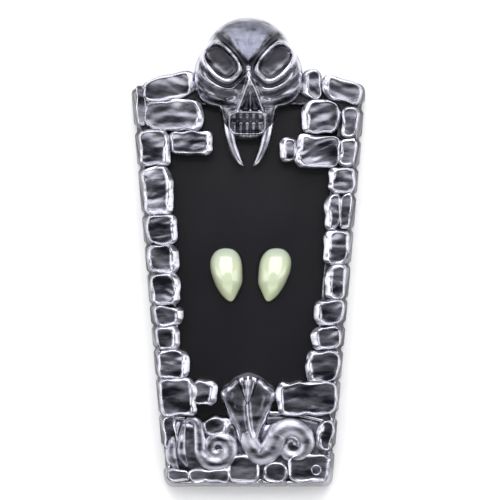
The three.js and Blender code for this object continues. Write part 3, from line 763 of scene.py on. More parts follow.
@dataclass
class StoneCourse:
    """A run of stones, each a closed pillow with a rolled rim and a dished, streaky face."""

    name: str
    stones: tuple[Stone, ...]
    rim_width: float = 0.55
    window_rim_width: float = 1.3
    full_size: float = 4.6
    steepness: float = 0.56
    roundness: float = 1.3
    lip: float = 0.5
    dish: float = 0.22
    corner: float = 1.6
    bulge: float = 0.035
    grow: float = 0.3
    spacing: float = 0.4
    wobble: float = 0.22
    wobble_length: float = 5.5
    walls: int = 4
    bevels: int = 10
    lips: int = 6

    def corners(self, stone: Stone) -> tuple[Array, Array]:
        """The stone's lower and upper corners, grown into the joints but not at the flank.

        Args:
            stone: its place in the table.

        Returns:
            The two lower and the two upper corners, left before right.
        """
        slope = np.array([-0.5, 0.5]) * stone.slope
        y_low = SIZES.level(stone.low + slope) - self.grow * (stone.low > FOOT_ROW)
        y_high = SIZES.level(stone.high + slope) + self.grow * (stone.high < TOP_ROW)
        spread = np.array([-self.grow if stone.left > -FLANK else 0.0,
                           self.grow if stone.right < FLANK else 0.0])
        shares = np.array([stone.left, stone.right])
        low = np.stack([shares * SIZES.half_width(y_low) + spread, y_low], axis=-1)
        high = np.stack([shares * SIZES.half_width(y_high) + spread, y_high], axis=-1)
        return low, high

    def outlines(self, width: float, height: float, fit: float, rims: Array,
                 inset: Array) -> Array:
        """Rounded outlines of the rings, in from the stone's edge and then shrinking to a point.

        Args:
            width: the stone's width.
            height: the stone's height along the case.
            fit: share of the full corner radius that suits the stone.
            rims: widths of the rim at the left, right, lower and upper edge.
            inset: how far in each ring of the wall, rim and lip lies, in rim widths.

        Returns:
            Places from the stone's lower left corner, by ring and column.
        """
        edges = np.stack([inset * rims[0], width - inset * rims[1],
                          inset * rims[2], height - inset * rims[3]], axis=-1)
        shrink = np.linspace(0, 0.97, self.face_rings(width, height) + 1)[1:, None]
        centre = np.array([[width / 2, width / 2, height / 2, height / 2]])
        edges = np.concatenate([edges, edges[-1] + (centre - edges[-1]) * shrink])
        radius = np.concatenate([
            np.maximum(self.corner * fit - inset * rims[2] * 0.6, 0.3),
            (1 - shrink[:, 0]) * 0.6,
        ])
        radius = np.minimum(radius, np.minimum(edges[:, 1] - edges[:, 0],
                                               edges[:, 3] - edges[:, 2]) * 0.45)
        across = max(4, int(width / self.spacing))
        along = max(4, int(height / self.spacing))
        return rounded_boxes(edges, radius, across, along)

    def face_rings(self, width: float, height: float) -> int:
        """How many rings fill the stone's face at the usual spacing."""
        return max(5, int(min(width, height) / 2 / self.spacing))

    def lay(self, shares: Array, low: Array, high: Array, seed: int) -> tuple[Array, Array]:
        """Lays the outlines between the four corners, with bulging sides and a wobble.

        The sides bulge by a parabola, the place is found by shares along the lower and upper
        edge and then between them, and seeded waves move it.

        Args:
            shares: shares of the width and height, by ring and column.
            low: the two lower corners.
            high: the two upper corners.
            seed: picks the waves.

        Returns:
            X and Y by ring and column.
        """
        a, b = shares[..., 0], shares[..., 1]
        a, b = (a + self.bulge * (2 * a - 1) * (1 - (2 * b - 1) ** 2),
                b + self.bulge * (2 * b - 1) * (1 - (2 * a - 1) ** 2))
        lower = low[0] + (low[1] - low[0]) * a[..., None]
        upper = high[0] + (high[1] - high[0]) * a[..., None]
        place = lower + (upper - lower) * b[..., None]
        x, y = place[..., 0], place[..., 1]
        x = x + self.wobble * wave_noise(x, y, self.wobble_length, seed)
        y = y + self.wobble * wave_noise(x, y, self.wobble_length, seed + 100)
        return x, y

    def rings(self, stone: Stone, seed: int) -> tuple[Array, Array]:
        """Points and tone of one stone, ring by ring from its foot to the middle of its face.

        The wall stands straight, the rim rises as 1 less a power of its width, the lip falls to
        the dished face along a smooth step, and seeded waves tilt and streak the face. The faces
        are darkened a little, and those of the upper stones more, as painted shade.

        Args:
            stone: its place in the table.
            seed: picks its waves.

        Returns:
            Points by ring and column, and their tone: worn and painted light on the rim, painted
            shade on the wall and faces.
        """
        low, high = self.corners(stone)
        width = (low[1, 0] - low[0, 0] + high[1, 0] - high[0, 0]) / 2
        height = (high[:, 1] - low[:, 1]).mean()
        fit = min(1.0, min(width, height) / self.full_size)
        rims = np.full(4, self.rim_width * fit)
        if stone.low > FOOT_ROW and min(abs(stone.left), abs(stone.right)) < 0.8:
            rims[1 if stone.left < 0 else 0] = self.window_rim_width * fit
        turn = np.linspace(0, 1, self.bevels)
        fall = np.linspace(0, 1, self.lips + 1)[1:]
        inset = np.concatenate([np.zeros(self.walls), turn, 1 + fall * self.lip])
        flat = self.outlines(width, height, fit, rims, inset)
        x, y = self.lay(flat / np.array([width, height]), low, high, seed)
        faces = self.face_rings(width, height)
        top = SIZES.joint_z + stone.rise * SIZES.stone_rise
        rise = self.steepness * rims.max()
        z = np.concatenate([
            np.linspace(SIZES.relief_foot, top - rise, self.walls + 1)[:-1],
            top - rise * (1 - turn) ** self.roundness,
            top - self.dish * smooth_step(0, 1, fall),
            np.full(faces, top - self.dish),
        ])[:, None]
        on_top = smooth_step(top - rise, top, z)
        lean = math.radians(25 * math.sin(seed))
        u = x * math.cos(lean) + y * math.sin(lean)
        v = y * math.cos(lean) - x * math.sin(lean)
        streaks = wave_noise(u, v, 2.0, seed + 200, stretch=3.0)
        tilt = wave_noise(x, y, 9.0, seed + 300)
        z = z + on_top * (0.06 * streaks + 0.22 * tilt)
        # The wall is painted dark towards its foot, as shade, and the rim light, worn and painted
        # highlight.
        crest = np.concatenate([
            np.linspace(-0.7, -0.2, self.walls), np.linspace(0.3, 1, self.bevels),
            1 - fall, np.full(faces, -0.05),
        ])[:, None]
        # Painted shade: the faces are darkened, the upper stones' most, against the key light.
        painted_face_shade = 0.1 + 0.07 * smooth_step(SIZES.level(0.7), SIZES.level(0.84), y)
        wear_and_painted_light = crest - on_top * (crest < 0.1) * (painted_face_shade + 0.06 * tilt)
        return np.stack([x, y, np.broadcast_to(z, x.shape)], axis=-1), wear_and_painted_light

    def build(self, material: bpy.types.Material) -> None:
        """Makes the run as one piece of the frame.

        Args:
            material: the silvered finish.
        """
        skin = Skin()
        for number, stone in enumerate(self.stones):
            points, wear_and_painted_light = self.rings(stone, 11 + 7 * number)
            skin.add_rings(points, wear_and_painted_light)
        install(skin.build(self.name, material), Slot.SILVER, "front_frame")


@dataclass
class FrameWall:
    """The moulding that carries the stones: drafted flank, joint floor and window wall."""

    ridge_rise: float = 0.35
    ridge_share: float = 0.35
    groove: float = 0.55
    notch: float = 0.9
    sides: tuple[int, ...] = (90, 260, 70, 70, 260)

    def case_outline(self, inset: float) -> Array:
        """Coffin outline moved in, with rounded corners.

        Args:
            inset: how far in.

        Returns:
            The outline, one row a point.
        """
        foot, shoulder = SIZES.foot_y + inset, SIZES.shoulder_y - inset
        low, wide = SIZES.half_width(foot) - inset, SIZES.half_width(shoulder) - inset
        corners = np.array([[-low, foot], [low, foot], [wide, shoulder],
                            [0.0, SIZES.peak_y - inset], [-wide, shoulder]])
        return rounded_polygon(corners, SIZES.corner_radius, self.sides)

    def window_outline(self) -> Array:
        """Outline of the window in the ring, point for point with the case outline.

        Returns:
            The outline, one row a point.
        """
        foot, head = SIZES.foot_y + SIZES.foot_border, SIZES.peak_y - SIZES.top_border
        low = SIZES.half_width(foot) - SIZES.side_border
        wide = SIZES.half_width(head) - SIZES.side_border
        corners = np.array([[-low, foot], [low, foot], [wide, head], [0.0, head], [-wide, head]])
        return rounded_polygon(corners, SIZES.corner_radius, self.sides)

    def joints(self, outline: Array) -> Array:
        """Finds the joints along an outline, where no stone covers it.

        A stone's cover is the product of a smooth step across and one along.

        Args:
            outline: the outline, one row a point.

        Returns:
            1 for a point in a joint, 0 beside a stone.
        """
        y = np.clip(outline[:, 1], SIZES.level(0.03), SIZES.level(0.955))
        u = np.clip(outline[:, 0] / SIZES.half_width(y), -0.92, 0.92)
        v = (y - SIZES.foot_y) / SIZES.body_length
        cover = np.zeros(len(outline))
        for stone in STONES:
            across = smooth_step(-0.03, 0.0, np.minimum(u - stone.left, stone.right - u))
            along = smooth_step(-0.004, 0.006, np.minimum(v - stone.low, stone.high - v))
            cover = np.maximum(cover, across * along)
        return 1 - cover

    def build(self, material: bpy.types.Material) -> None:
        """Carries the wall's closed profile round the case.

        The flank leans in along a straight line and dips at each joint, the joint floor runs
        from the flank to the window by shares, and the back is stepped over the panel.

        Args:
            material: the silvered finish.
        """
        outer = self.case_outline(0.0)
        tangent = np.roll(outer, -1, axis=0) - np.roll(outer, 1, axis=0)
        tangent /= np.linalg.norm(tangent, axis=1)[:, None]
        inward = np.stack([-tangent[:, 1], tangent[:, 0]], axis=-1)
        joint = self.joints(outer)
        groove = (self.groove * joint)[:, None] * inward
        foot = smooth_step(SIZES.foot_y + 5, SIZES.foot_y + 1, outer[:, 1])
        rows, wear_and_painted_light_rows = [], []

        def add(outline: Array, z: Array | float, wear_and_painted_light: Array | float) -> None:
            """Adds one row of the profile: its outline, its height and its tone, worn and painted
            light.
            """
            rows.append(np.column_stack([outline, np.broadcast_to(z, (len(outline),))]))
            wear_and_painted_light_rows.append(np.broadcast_to(wear_and_painted_light, (len(outline),)))

        top = SIZES.joint_z + SIZES.stone_rise * self.ridge_share
        for share in np.linspace(0, 1, 14):
            dip = self.groove * joint * (1.2 - 0.2 * share)
            bulge = 0.15 * (1 - joint) * math.sin(math.pi * share)
            z = SIZES.frame_z + share * (top - SIZES.frame_z) - joint * share * self.notch
            cloud = wave_noise(outer[:, 0], outer[:, 1] + 9 * share, 5.0, 41)
            # Flank tone: dark, by black paint and painted shade, darker in the joints, and lighter
            # at the foot end as a painted reflection of the floor; the lowest row is light as
            # painted highlight.
            wear_and_painted_light = -0.38 - 0.25 * joint + 0.16 * cloud + 0.5 * foot
            add(self.case_outline(share * SIZES.draft) + (dip - bulge)[:, None] * inward, z,
                0.8 if share == 0 else wear_and_painted_light)
        add(self.case_outline(SIZES.draft + 0.25) + groove,
            top + self.ridge_rise * (1 - joint) - self.notch * joint, 0.9)
        start = self.case_outline(SIZES.draft + 0.6) + groove
        add(start, SIZES.joint_z, -0.5)
        end = self.window_outline()
        for share in (0.1, 0.25, 0.4, 0.55, 0.7, 0.85, 0.95):
            outline = start + (end - start) * share
            ripple = 0.25 * wave_noise(outline[:, 0], outline[:, 1], 4.0, 5)
            # The joint floor along the window's foot is lighter: worn and painted highlight.
            rubbed_and_highlit = 0.42 * smooth_step(18.5, 16.0, outline[:, 1] - SIZES.foot_y)
            rubbed_and_highlit = rubbed_and_highlit * (1 + 0.5 * wave_noise(outline[:, 0], outline[:, 1], 3.0, 8))
            add(outline, SIZES.joint_z + 0.3 + ripple, -0.5 + rubbed_and_highlit if share < 0.9 else 0.1)
        add(end, SIZES.joint_z - 0.4, 0.0)
        # The window's wall is painted dark down to the panel, as shade.
        add(end, SIZES.relief_foot, -0.8)
        hollow = self.case_outline(SIZES.wall)
        add(hollow, SIZES.relief_foot, -0.8)
        add(hollow, SIZES.frame_z, -0.8)
        add(outer + 1.2 * groove, SIZES.frame_z, 0.1)
        skin = Skin()
        skin.add_loop(np.stack(rows), np.stack(wear_and_painted_light_rows))
        install(skin.build("frame_wall", material), Slot.SILVER, "front_frame")


@dataclass
class PolarRelief:
    """A relief over an outline that its middle can see all of, as rings from edge to middle."""

    middle: tuple[float, float]
    outline: Array
    columns: int = 360
    rings: int = 110
    round_over: int = 3

    def radius(self, angle: Array) -> Array:
        """Distance from the middle to the outline, interpolated and averaged over neighbours.

        Args:
            angle: angles in radians.

        Returns:
            The distance at each angle.
        """
        around = self.outline - np.array(self.middle)
        angles = np.arctan2(around[:, 1], around[:, 0])
        order = np.argsort(angles)
        reach = np.hypot(around[:, 0], around[:, 1])[order]
        raw = np.interp(angle, angles[order], reach, period=2 * math.pi)
        steps = range(-self.round_over, self.round_over + 1)
        return np.mean([np.roll(raw, step) for step in steps], axis=0)

    def grid(self) -> tuple[Array, Array, Array]:
        """Places of the rings, which lie closer together near the edge.

        Returns:
            X, Y and the share of the way out, by ring from the edge and by column.
        """
        angle = np.linspace(-math.pi, math.pi, self.columns, endpoint=False)
        reach = self.radius(angle)
        share = (1 - np.linspace(0, 1, self.rings + 1)[:-1] ** 1.15)[:, None]
        x = self.middle[0] + share * reach * np.cos(angle)
        y = self.middle[1] + share * reach * np.sin(angle)
        return x, y, np.broadcast_to(share, x.shape)


# One side of the skull's outline under the dome, from the temple to the chin, in dome radii.
SKULL_OUTLINE = np.array([
    [1.13, 0.04], [1.17, -0.1], [1.19, -0.24], [1.2, -0.42], [1.18, -0.62], [1.06, -0.84],
    [0.85, -0.95], [0.66, -0.98], [0.6, -1.12], [0.56, -1.32], [0.48, -1.53], [0.24, -1.67],
])

# Height of the face over the joint floor at places along it, from the chin to the crown.
SKULL_LEVELS = np.array([[-19, 3.0], [-16, 4.0], [-12, 5.2], [-8, 7.2], [-4, 8.5], [0, 9.1],
                         [6, 8.6], [11.4, 7.5]])

# Middle line of the skull's right fang, from its root to its point.
FANG_ROUTE = np.array([[5.7, -9.6], [5.4, -12.9], [4.8, -16.8], [3.8, -21.0], [2.35, -24.4],
                       [1.1, -25.9]])


@dataclass(frozen=True)
class FacePlaces:
    """Where the points of the skull's relief lie, as its features measure them.

    x and y are millimetres from the dome's middle, side is x without its sign and out the share
    of the way to the outline. along and across lie on the nearer socket's own axes and gap is the
    distance outside its edge. brow is the distance under the groove over the eyes, and upper is 1
    above the nose and 0 under it. lean_x is x from the leaning middle line of the nose.
    """

    x: Array
    y: Array
    side: Array
    out: Array
    along: Array
    across: Array
    gap: Array
    brow: Array
    upper: Array
    lean_x: Array


@dataclass
class Skull:
    """The skull over the gable: a domed relief with slanted sockets, ribbed cheeks and fangs."""

    radius: float = 11.4
    eye: tuple[float, float] = (6.7, -0.2)
    eye_half: tuple[float, float] = (4.6, 2.8)
    eye_power: float = 2.8
    eye_angle: float = 48.0
    eye_depth: float = 1.75
    eye_fall: float = 2.3
    brow_foot: float = -1.4
    brow_end: tuple[float, float] = (7.4, 8.5)
    lean: float = 0.5
    nose_top: float = -6.7
    nose_foot: float = -11.8
    nose_half: float = 2.2
    rib_pitch: float = 2.7
    mouth_top: float = -12.9
    mouth_foot: float = -17.7
    mouth_half: float = 4.1
    mouth_shift: float = 0.3
    tooth_pitch: float = 1.6

    @property
    def centre_y(self) -> float:
        """Y of the middle of the dome."""
        return SIZES.peak_y + SIZES.skull_rise - self.radius

    def relief(self) -> PolarRelief:
        """The polar grid over the skull's outline, in millimetres from the dome's middle.

        Returns:
            The grid, its dome an arc and the rest mirrored from one side.
        """
        arc = np.radians(np.arange(24, 157, 4))
        dome = np.stack([np.cos(arc), np.sin(arc)], axis=-1)
        mirrored = SKULL_OUTLINE * np.array([-1, 1])
        outline = np.concatenate([dome, SKULL_OUTLINE, mirrored]) * self.radius
        return PolarRelief((0.0, -5.2), outline, columns=400, rings=118)

    def measure(self, x: Array, y: Array, out: Array) -> FacePlaces:
        """Measures the points from the sockets, the brow groove and the middle line.

        The sockets are superellipses, whose edge is where the sum of the powers is 1. The brow
        groove is a straight line from the top of the nose to the temple.

        Args:
            x: places across from the dome's middle.
            y: places along from the dome's middle.
            out: share of the way out to the outline.

        Returns:
            The measures.
        """
        side = np.abs(x)
        turn = math.radians(self.eye_angle)
        along = (side - self.eye[0]) * math.cos(turn) + (y - self.eye[1]) * math.sin(turn)
        across = (y - self.eye[1]) * math.cos(turn) - (side - self.eye[0]) * math.sin(turn)
        ring = (np.abs(along / self.eye_half[0]) ** self.eye_power
                + np.abs(across / self.eye_half[1]) ** self.eye_power) ** (1 / self.eye_power)
        gap = np.hypot(along, across) * (1 - 1 / np.maximum(ring, 0.05))
        brow = ((side * self.brow_end[1] - (y - self.brow_foot) * self.brow_end[0])
                / math.hypot(*self.brow_end))
        upper = smooth_step(-1.8, -0.6, y) * smooth_step(1.0, 0.9, out)
        lean_x = x - self.lean * smooth_step(-1.0, -8.0, y)
        return FacePlaces(x, y, side, out, along, across, gap, brow, upper, lean_x)

    def dome(self, at: FacePlaces) -> tuple[Array, Array]:
        """The level at each place along times the root of 1 less a power of the share out.

        Args:
            at: the measured points.

        Returns:
            Height and tone: the temple's edge lighter, worn and painted highlight.
        """
        level = np.interp(at.y, SKULL_LEVELS[:, 0], SKULL_LEVELS[:, 1])
        power = 3.2 + 3.5 * smooth_step(-9, -13, at.y)
        temple = smooth_step(0.9, 0.99, at.out) * smooth_step(0.0, 3.0, at.y)
        return level * np.clip(1 - at.out**power, 0, 1) ** 0.5, 0.1 + 0.5 * temple

    def brows(self, at: FacePlaces) -> tuple[Array, Array]:
        """The forehead's raised plane and the groove under it, a bell curve across its line.

        Args:
            at: the measured points.

        Returns:
            Height and tone to add, the groove's painted shade.
        """
        # The groove and the forehead's plane are painted darker, as shade.
        height = 0.4 * smooth_step(0.2, -1.0, at.brow) - 0.95 * bell(at.brow - 0.35, 0.75)
        wear_and_painted_light = (-0.75 * bell(at.brow - 0.35, 0.8) - 0.2 * smooth_step(0.1, -1.0, at.brow))
        return height * at.upper, wear_and_painted_light * at.upper

    def sockets(self, at: FacePlaces) -> tuple[Array, Array]:
        """The sockets: a bell-shaped rim, a floor that falls as a parabola and a crease below.

        Args:
            at: the measured points.

        Returns:
            Height and tone to add: a light rim, worn and painted highlight, and painted shade in
                the socket and the crease.
        """
        # The rim is lighter along one side, worn and painted highlight; the floor, darker on one
        # side, and the crease below are painted dark, as shade.
        rim = bell(at.gap - 0.7, 0.72)
        inner = smooth_step(1.5, -2.0, at.across + 0.35 * at.along)
        floor = self.socket_floor(at)
        shaded = 0.45 + 0.55 * smooth_step(-2.0, 2.5, at.across + at.along * 0.5)
        crease = (bell(at.gap - 1.65, 0.42) * smooth_step(0.5, -2.0, at.y)
                  * smooth_step(0.98, 0.9, at.out))
        height = 0.9 * rim - self.eye_depth * floor - 0.5 * crease
        return height, rim * (0.5 + 0.5 * inner) - 0.8 * floor * shaded - 0.6 * crease

    def socket_floor(self, at: FacePlaces) -> Array:
        """How far down into a socket each point is, from 0 at its edge to 1 on its floor."""
        return 1 - (1 - np.clip((0.1 - at.gap) / self.eye_fall, 0, 1)) ** 2

    def nose(self, at: FacePlaces) -> tuple[Array, Array]:
        """The bridge, the two flanks and the triangular opening with its middle bone.

        The opening is where the distance from the middle line is under its half-width, which
        grows evenly downwards. The bridge and the flanks are bell curves across their lines.

        Args:
            at: the measured points.

        Returns:
            Height and tone to add, worn and painted light.
        """
        reach = np.abs(at.lean_x)
        bridge = (bell(at.lean_x, 0.7) * smooth_step(-7.4, -6.0, at.y)
                  * smooth_step(-2.0, -3.2, at.y))
        share = np.clip((self.nose_top - at.y) / (self.nose_top - self.nose_foot), 0, 1.2)
        band = (smooth_step(-12.4, -11.6, at.y)
                * smooth_step(self.nose_top + 0.4, self.nose_top - 0.6, at.y))
        opening = smooth_step(0.2, -0.6, reach - self.nose_half * share) * band
        bone = bell(at.lean_x, 0.5)
        spread = np.interp(at.y, [-12.4, -7.0, -4.5], [self.nose_half + 0.95, 1.1, 0.1])
        flank = (bell(reach - spread, 0.45) * smooth_step(-13.2, -12.2, at.y)
                 * smooth_step(-3.8, -5.4, at.y))
        # The bridge and flanks are lighter, worn and painted highlight; the opening is painted
        # dark, as shade.
        height = 0.75 * bridge - 1.2 * opening + 0.8 * opening * bone + 0.8 * flank
        return height, 0.6 * bridge - 0.45 * opening * (1 - bone) + 0.65 * flank

    def cheeks(self, at: FacePlaces) -> tuple[Array, Array]:
        """The ribs, cosines of the distance from the socket, and the rolled edge of the face.

        Args:
            at: the measured points.

        Returns:
            Height and tone to add, worn and painted light.
        """
        cheek = (smooth_step(-1.5, -4.0, at.y) * smooth_step(2.6, 4.2, at.side)
                 * smooth_step(1.5, 2.3, at.gap) * smooth_step(0.98, 0.88, at.out)
                 * smooth_step(-12.0, -10.6, at.y))
        ribs = 0.5 + 0.5 * np.cos(2 * math.pi * (at.gap - 3.0) / self.rib_pitch)
        edge = bell(at.out - 0.955, 0.03) * smooth_step(2.0, -1.0, at.y)
        # Light ribs and face edge, worn and painted highlight; the grooves between the ribs
        # painted dark, as shade.
        return (cheek * (0.8 * ribs - 0.5) + 0.35 * edge,
                cheek * (0.6 * ribs - 0.45) + 0.8 * edge)

    def mouth(self, at: FacePlaces) -> tuple[Array, Array]:
        """The mouth: a squarish hollow in a raised line, two rows of teeth and one under it.

        The hollow is a superellipse of the fourth power. A tooth is 1 less a power of the
        distance from its middle, across times along.

        Args:
            at: the measured points.

        Returns:
            Height and tone to add, worn and painted light.
        """
        across = at.x + self.mouth_shift
        middle = (self.mouth_top + self.mouth_foot) / 2
        half = (self.mouth_top - self.mouth_foot) / 2
        box = (np.abs(across / self.mouth_half) ** 4 + np.abs((at.y - middle) / half) ** 4) ** 0.25
        hollow = smooth_step(1.02, 0.85, box)
        line = bell(box - 1.1, 0.08)
        row = (at.y - self.mouth_foot) / (self.mouth_top - self.mouth_foot) * 1.6
        phase = np.abs(2 * ((across / self.tooth_pitch + 0.5) % 1.0) - 1)
        tooth = (1 - phase**2.5) * np.clip(1 - np.abs(2 * (row % 1.0) - 1) ** 4, 0, 1)
        lower = smooth_step(-17.3, -18.0, at.y) * smooth_step(1.0, 0.9, at.out)
        # The raised line and the teeth are lighter, worn and painted highlight; the hollow is
        # painted dark, as shade.
        height = 0.45 * line - 1.1 * hollow + hollow * tooth + 0.5 * lower * (1 - phase**2)
        return height, hollow * (0.3 * tooth - 0.45) + 0.45 * line + 0.2 * lower

    def dullness_and_shade(self, at: FacePlaces, fan: Array) -> Array:
        """The matt film of the forehead, brightest in its middle, and of the sockets: partly
        painted shade.

        Args:
            at: the measured points.
            fan: noise that fans out from the top of the nose.

        Returns:
            The matt film's strength, partly painted shade.
        """
        # Painted shade on the forehead: the tint is strongest in the middle and fades towards the
        # crown and the brows.
        middle = 0.5 + 0.24 * bell(np.hypot(at.x, at.y - 2.5), 4.5) + 0.1 * fan
        crown = smooth_step(11.1, 9.6, np.hypot(at.x, at.y))
        forehead = middle * smooth_step(-0.2, -1.6, at.brow) * at.upper * crown
        return forehead + 0.3 * self.socket_floor(at)

    def heights(self, x: Array, y: Array, out: Array) -> tuple[Array, Array, Array]:
        """Adds up the features of the face.

        Args:
            x: places across from the dome's middle.
            y: places along from the dome's middle.
            out: share of the way out to the outline.

        Returns:
            Heights over the joint floor, the tone of worn and painted light, and the matt film
            with painted shade.
        """
        at = self.measure(x, y, out)
        features = (self.dome, self.brows, self.sockets, self.nose, self.cheeks, self.mouth)
        parts = [feature(at) for feature in features]
        fan = wave_noise(np.degrees(np.arctan2(y + 2.5, x)) / 6, np.hypot(x, y) / 6, 1.2, 91)
        height = sum(part[0] for part in parts) + 0.02 * wave_noise(x, y, 2.2, 77)
        height = height + 0.06 * smooth_step(0.1, -1.0, at.brow) * at.upper * fan
        wear_and_painted_light = sum(part[1] for part in parts)
        return height, np.clip(wear_and_painted_light, -0.9, 1.0), np.clip(self.dullness_and_shade(at, fan), 0, 1)

    def fang(self, side: Side) -> tuple[Array, Array]:
        """A long curved fang: an ellipse carried along a bent line, thinning to a point.

        Args:
            side: which of the two.

        Returns:
            Points by ring and column, and their tone, worn and painted light.
        """
        path = smooth_path(FANG_ROUTE, 44) * np.array([side.value, 1])
        path = path + np.array([0, self.centre_y])
        share = np.linspace(0, 1, len(path))
        radii = np.interp(share, [0, 0.2, 0.45, 0.7, 0.88, 0.97, 1.0],
                          [1.0, 1.35, 1.4, 1.1, 0.65, 0.25, 0.05])
        z = SIZES.joint_z + 0.2 + 1.4 * (1 - share)
        rings = sweep(np.column_stack([path, z]), radii, tallness=1.15, columns=32)
        angle = np.linspace(0, 2 * math.pi, 32, endpoint=False)
        # The fang is lighter along one side of its top and towards its point: worn and painted
        # highlight.
        inner = bell(np.abs(angle - math.pi / 2 + side.value * 0.5), 0.8)
        rubbed_and_highlit = np.interp(share, [0, 0.25, 0.5, 1], [0.3, 0.7, 1, 1])[:, None]
        return rings, 0.3 + 0.7 * inner * rubbed_and_highlit

    def build(self, material: bpy.types.Material) -> None:
        """Makes the skull's relief and its two fangs as one piece.

        Args:
            material: the silvered finish.
        """
        skin = Skin()
        x, y, out = self.relief().grid()
        z, wear_and_painted_light, dull_and_shade = self.heights(x, y, out)
        edge = np.stack([x[0], y[0]], axis=-1)
        foot = np.where(edge[:, 1] + self.centre_y > SIZES.peak_y - SIZES.top_border,
                        SIZES.frame_z, SIZES.relief_foot)
        base = np.column_stack([edge, foot])
        lip = np.column_stack([edge, np.full(len(edge), SIZES.joint_z - 0.6)])
        walls = np.stack([base, base * 0.5 + lip * 0.5, lip])
        points = np.concatenate([walls, np.stack([x, y, SIZES.joint_z + z], axis=-1)])
        points[..., 1] += self.centre_y
        # The skull's wall is painted dark at its foot, as shade, and light at its top.
        walls_wear_and_shade = np.tile(np.array([[-0.6], [-0.2], [0.4]]), (1, len(edge)))
        skin.add_rings(points, np.concatenate([walls_wear_and_shade, wear_and_painted_light]),
                       np.concatenate([np.zeros(walls_wear_and_shade.shape), dull_and_shade]))
        for side in Side:
            skin.add_rings(*self.fang(side))
        install(skin.build("skull", material), Slot.SILVER, "front_frame")


# One side of the hood's outline from its crown to the neck, in half-widths and in lengths.
HOOD_OUTLINE = np.array([
    [0.0, 1.02], [0.26, 0.99], [0.5, 0.94], [0.68, 0.87], [0.88, 0.82], [1.0, 0.74], [0.95, 0.65],
    [0.86, 0.57], [0.7, 0.41], [0.5, 0.25], [0.38, 0.12], [0.33, 0.0],
])


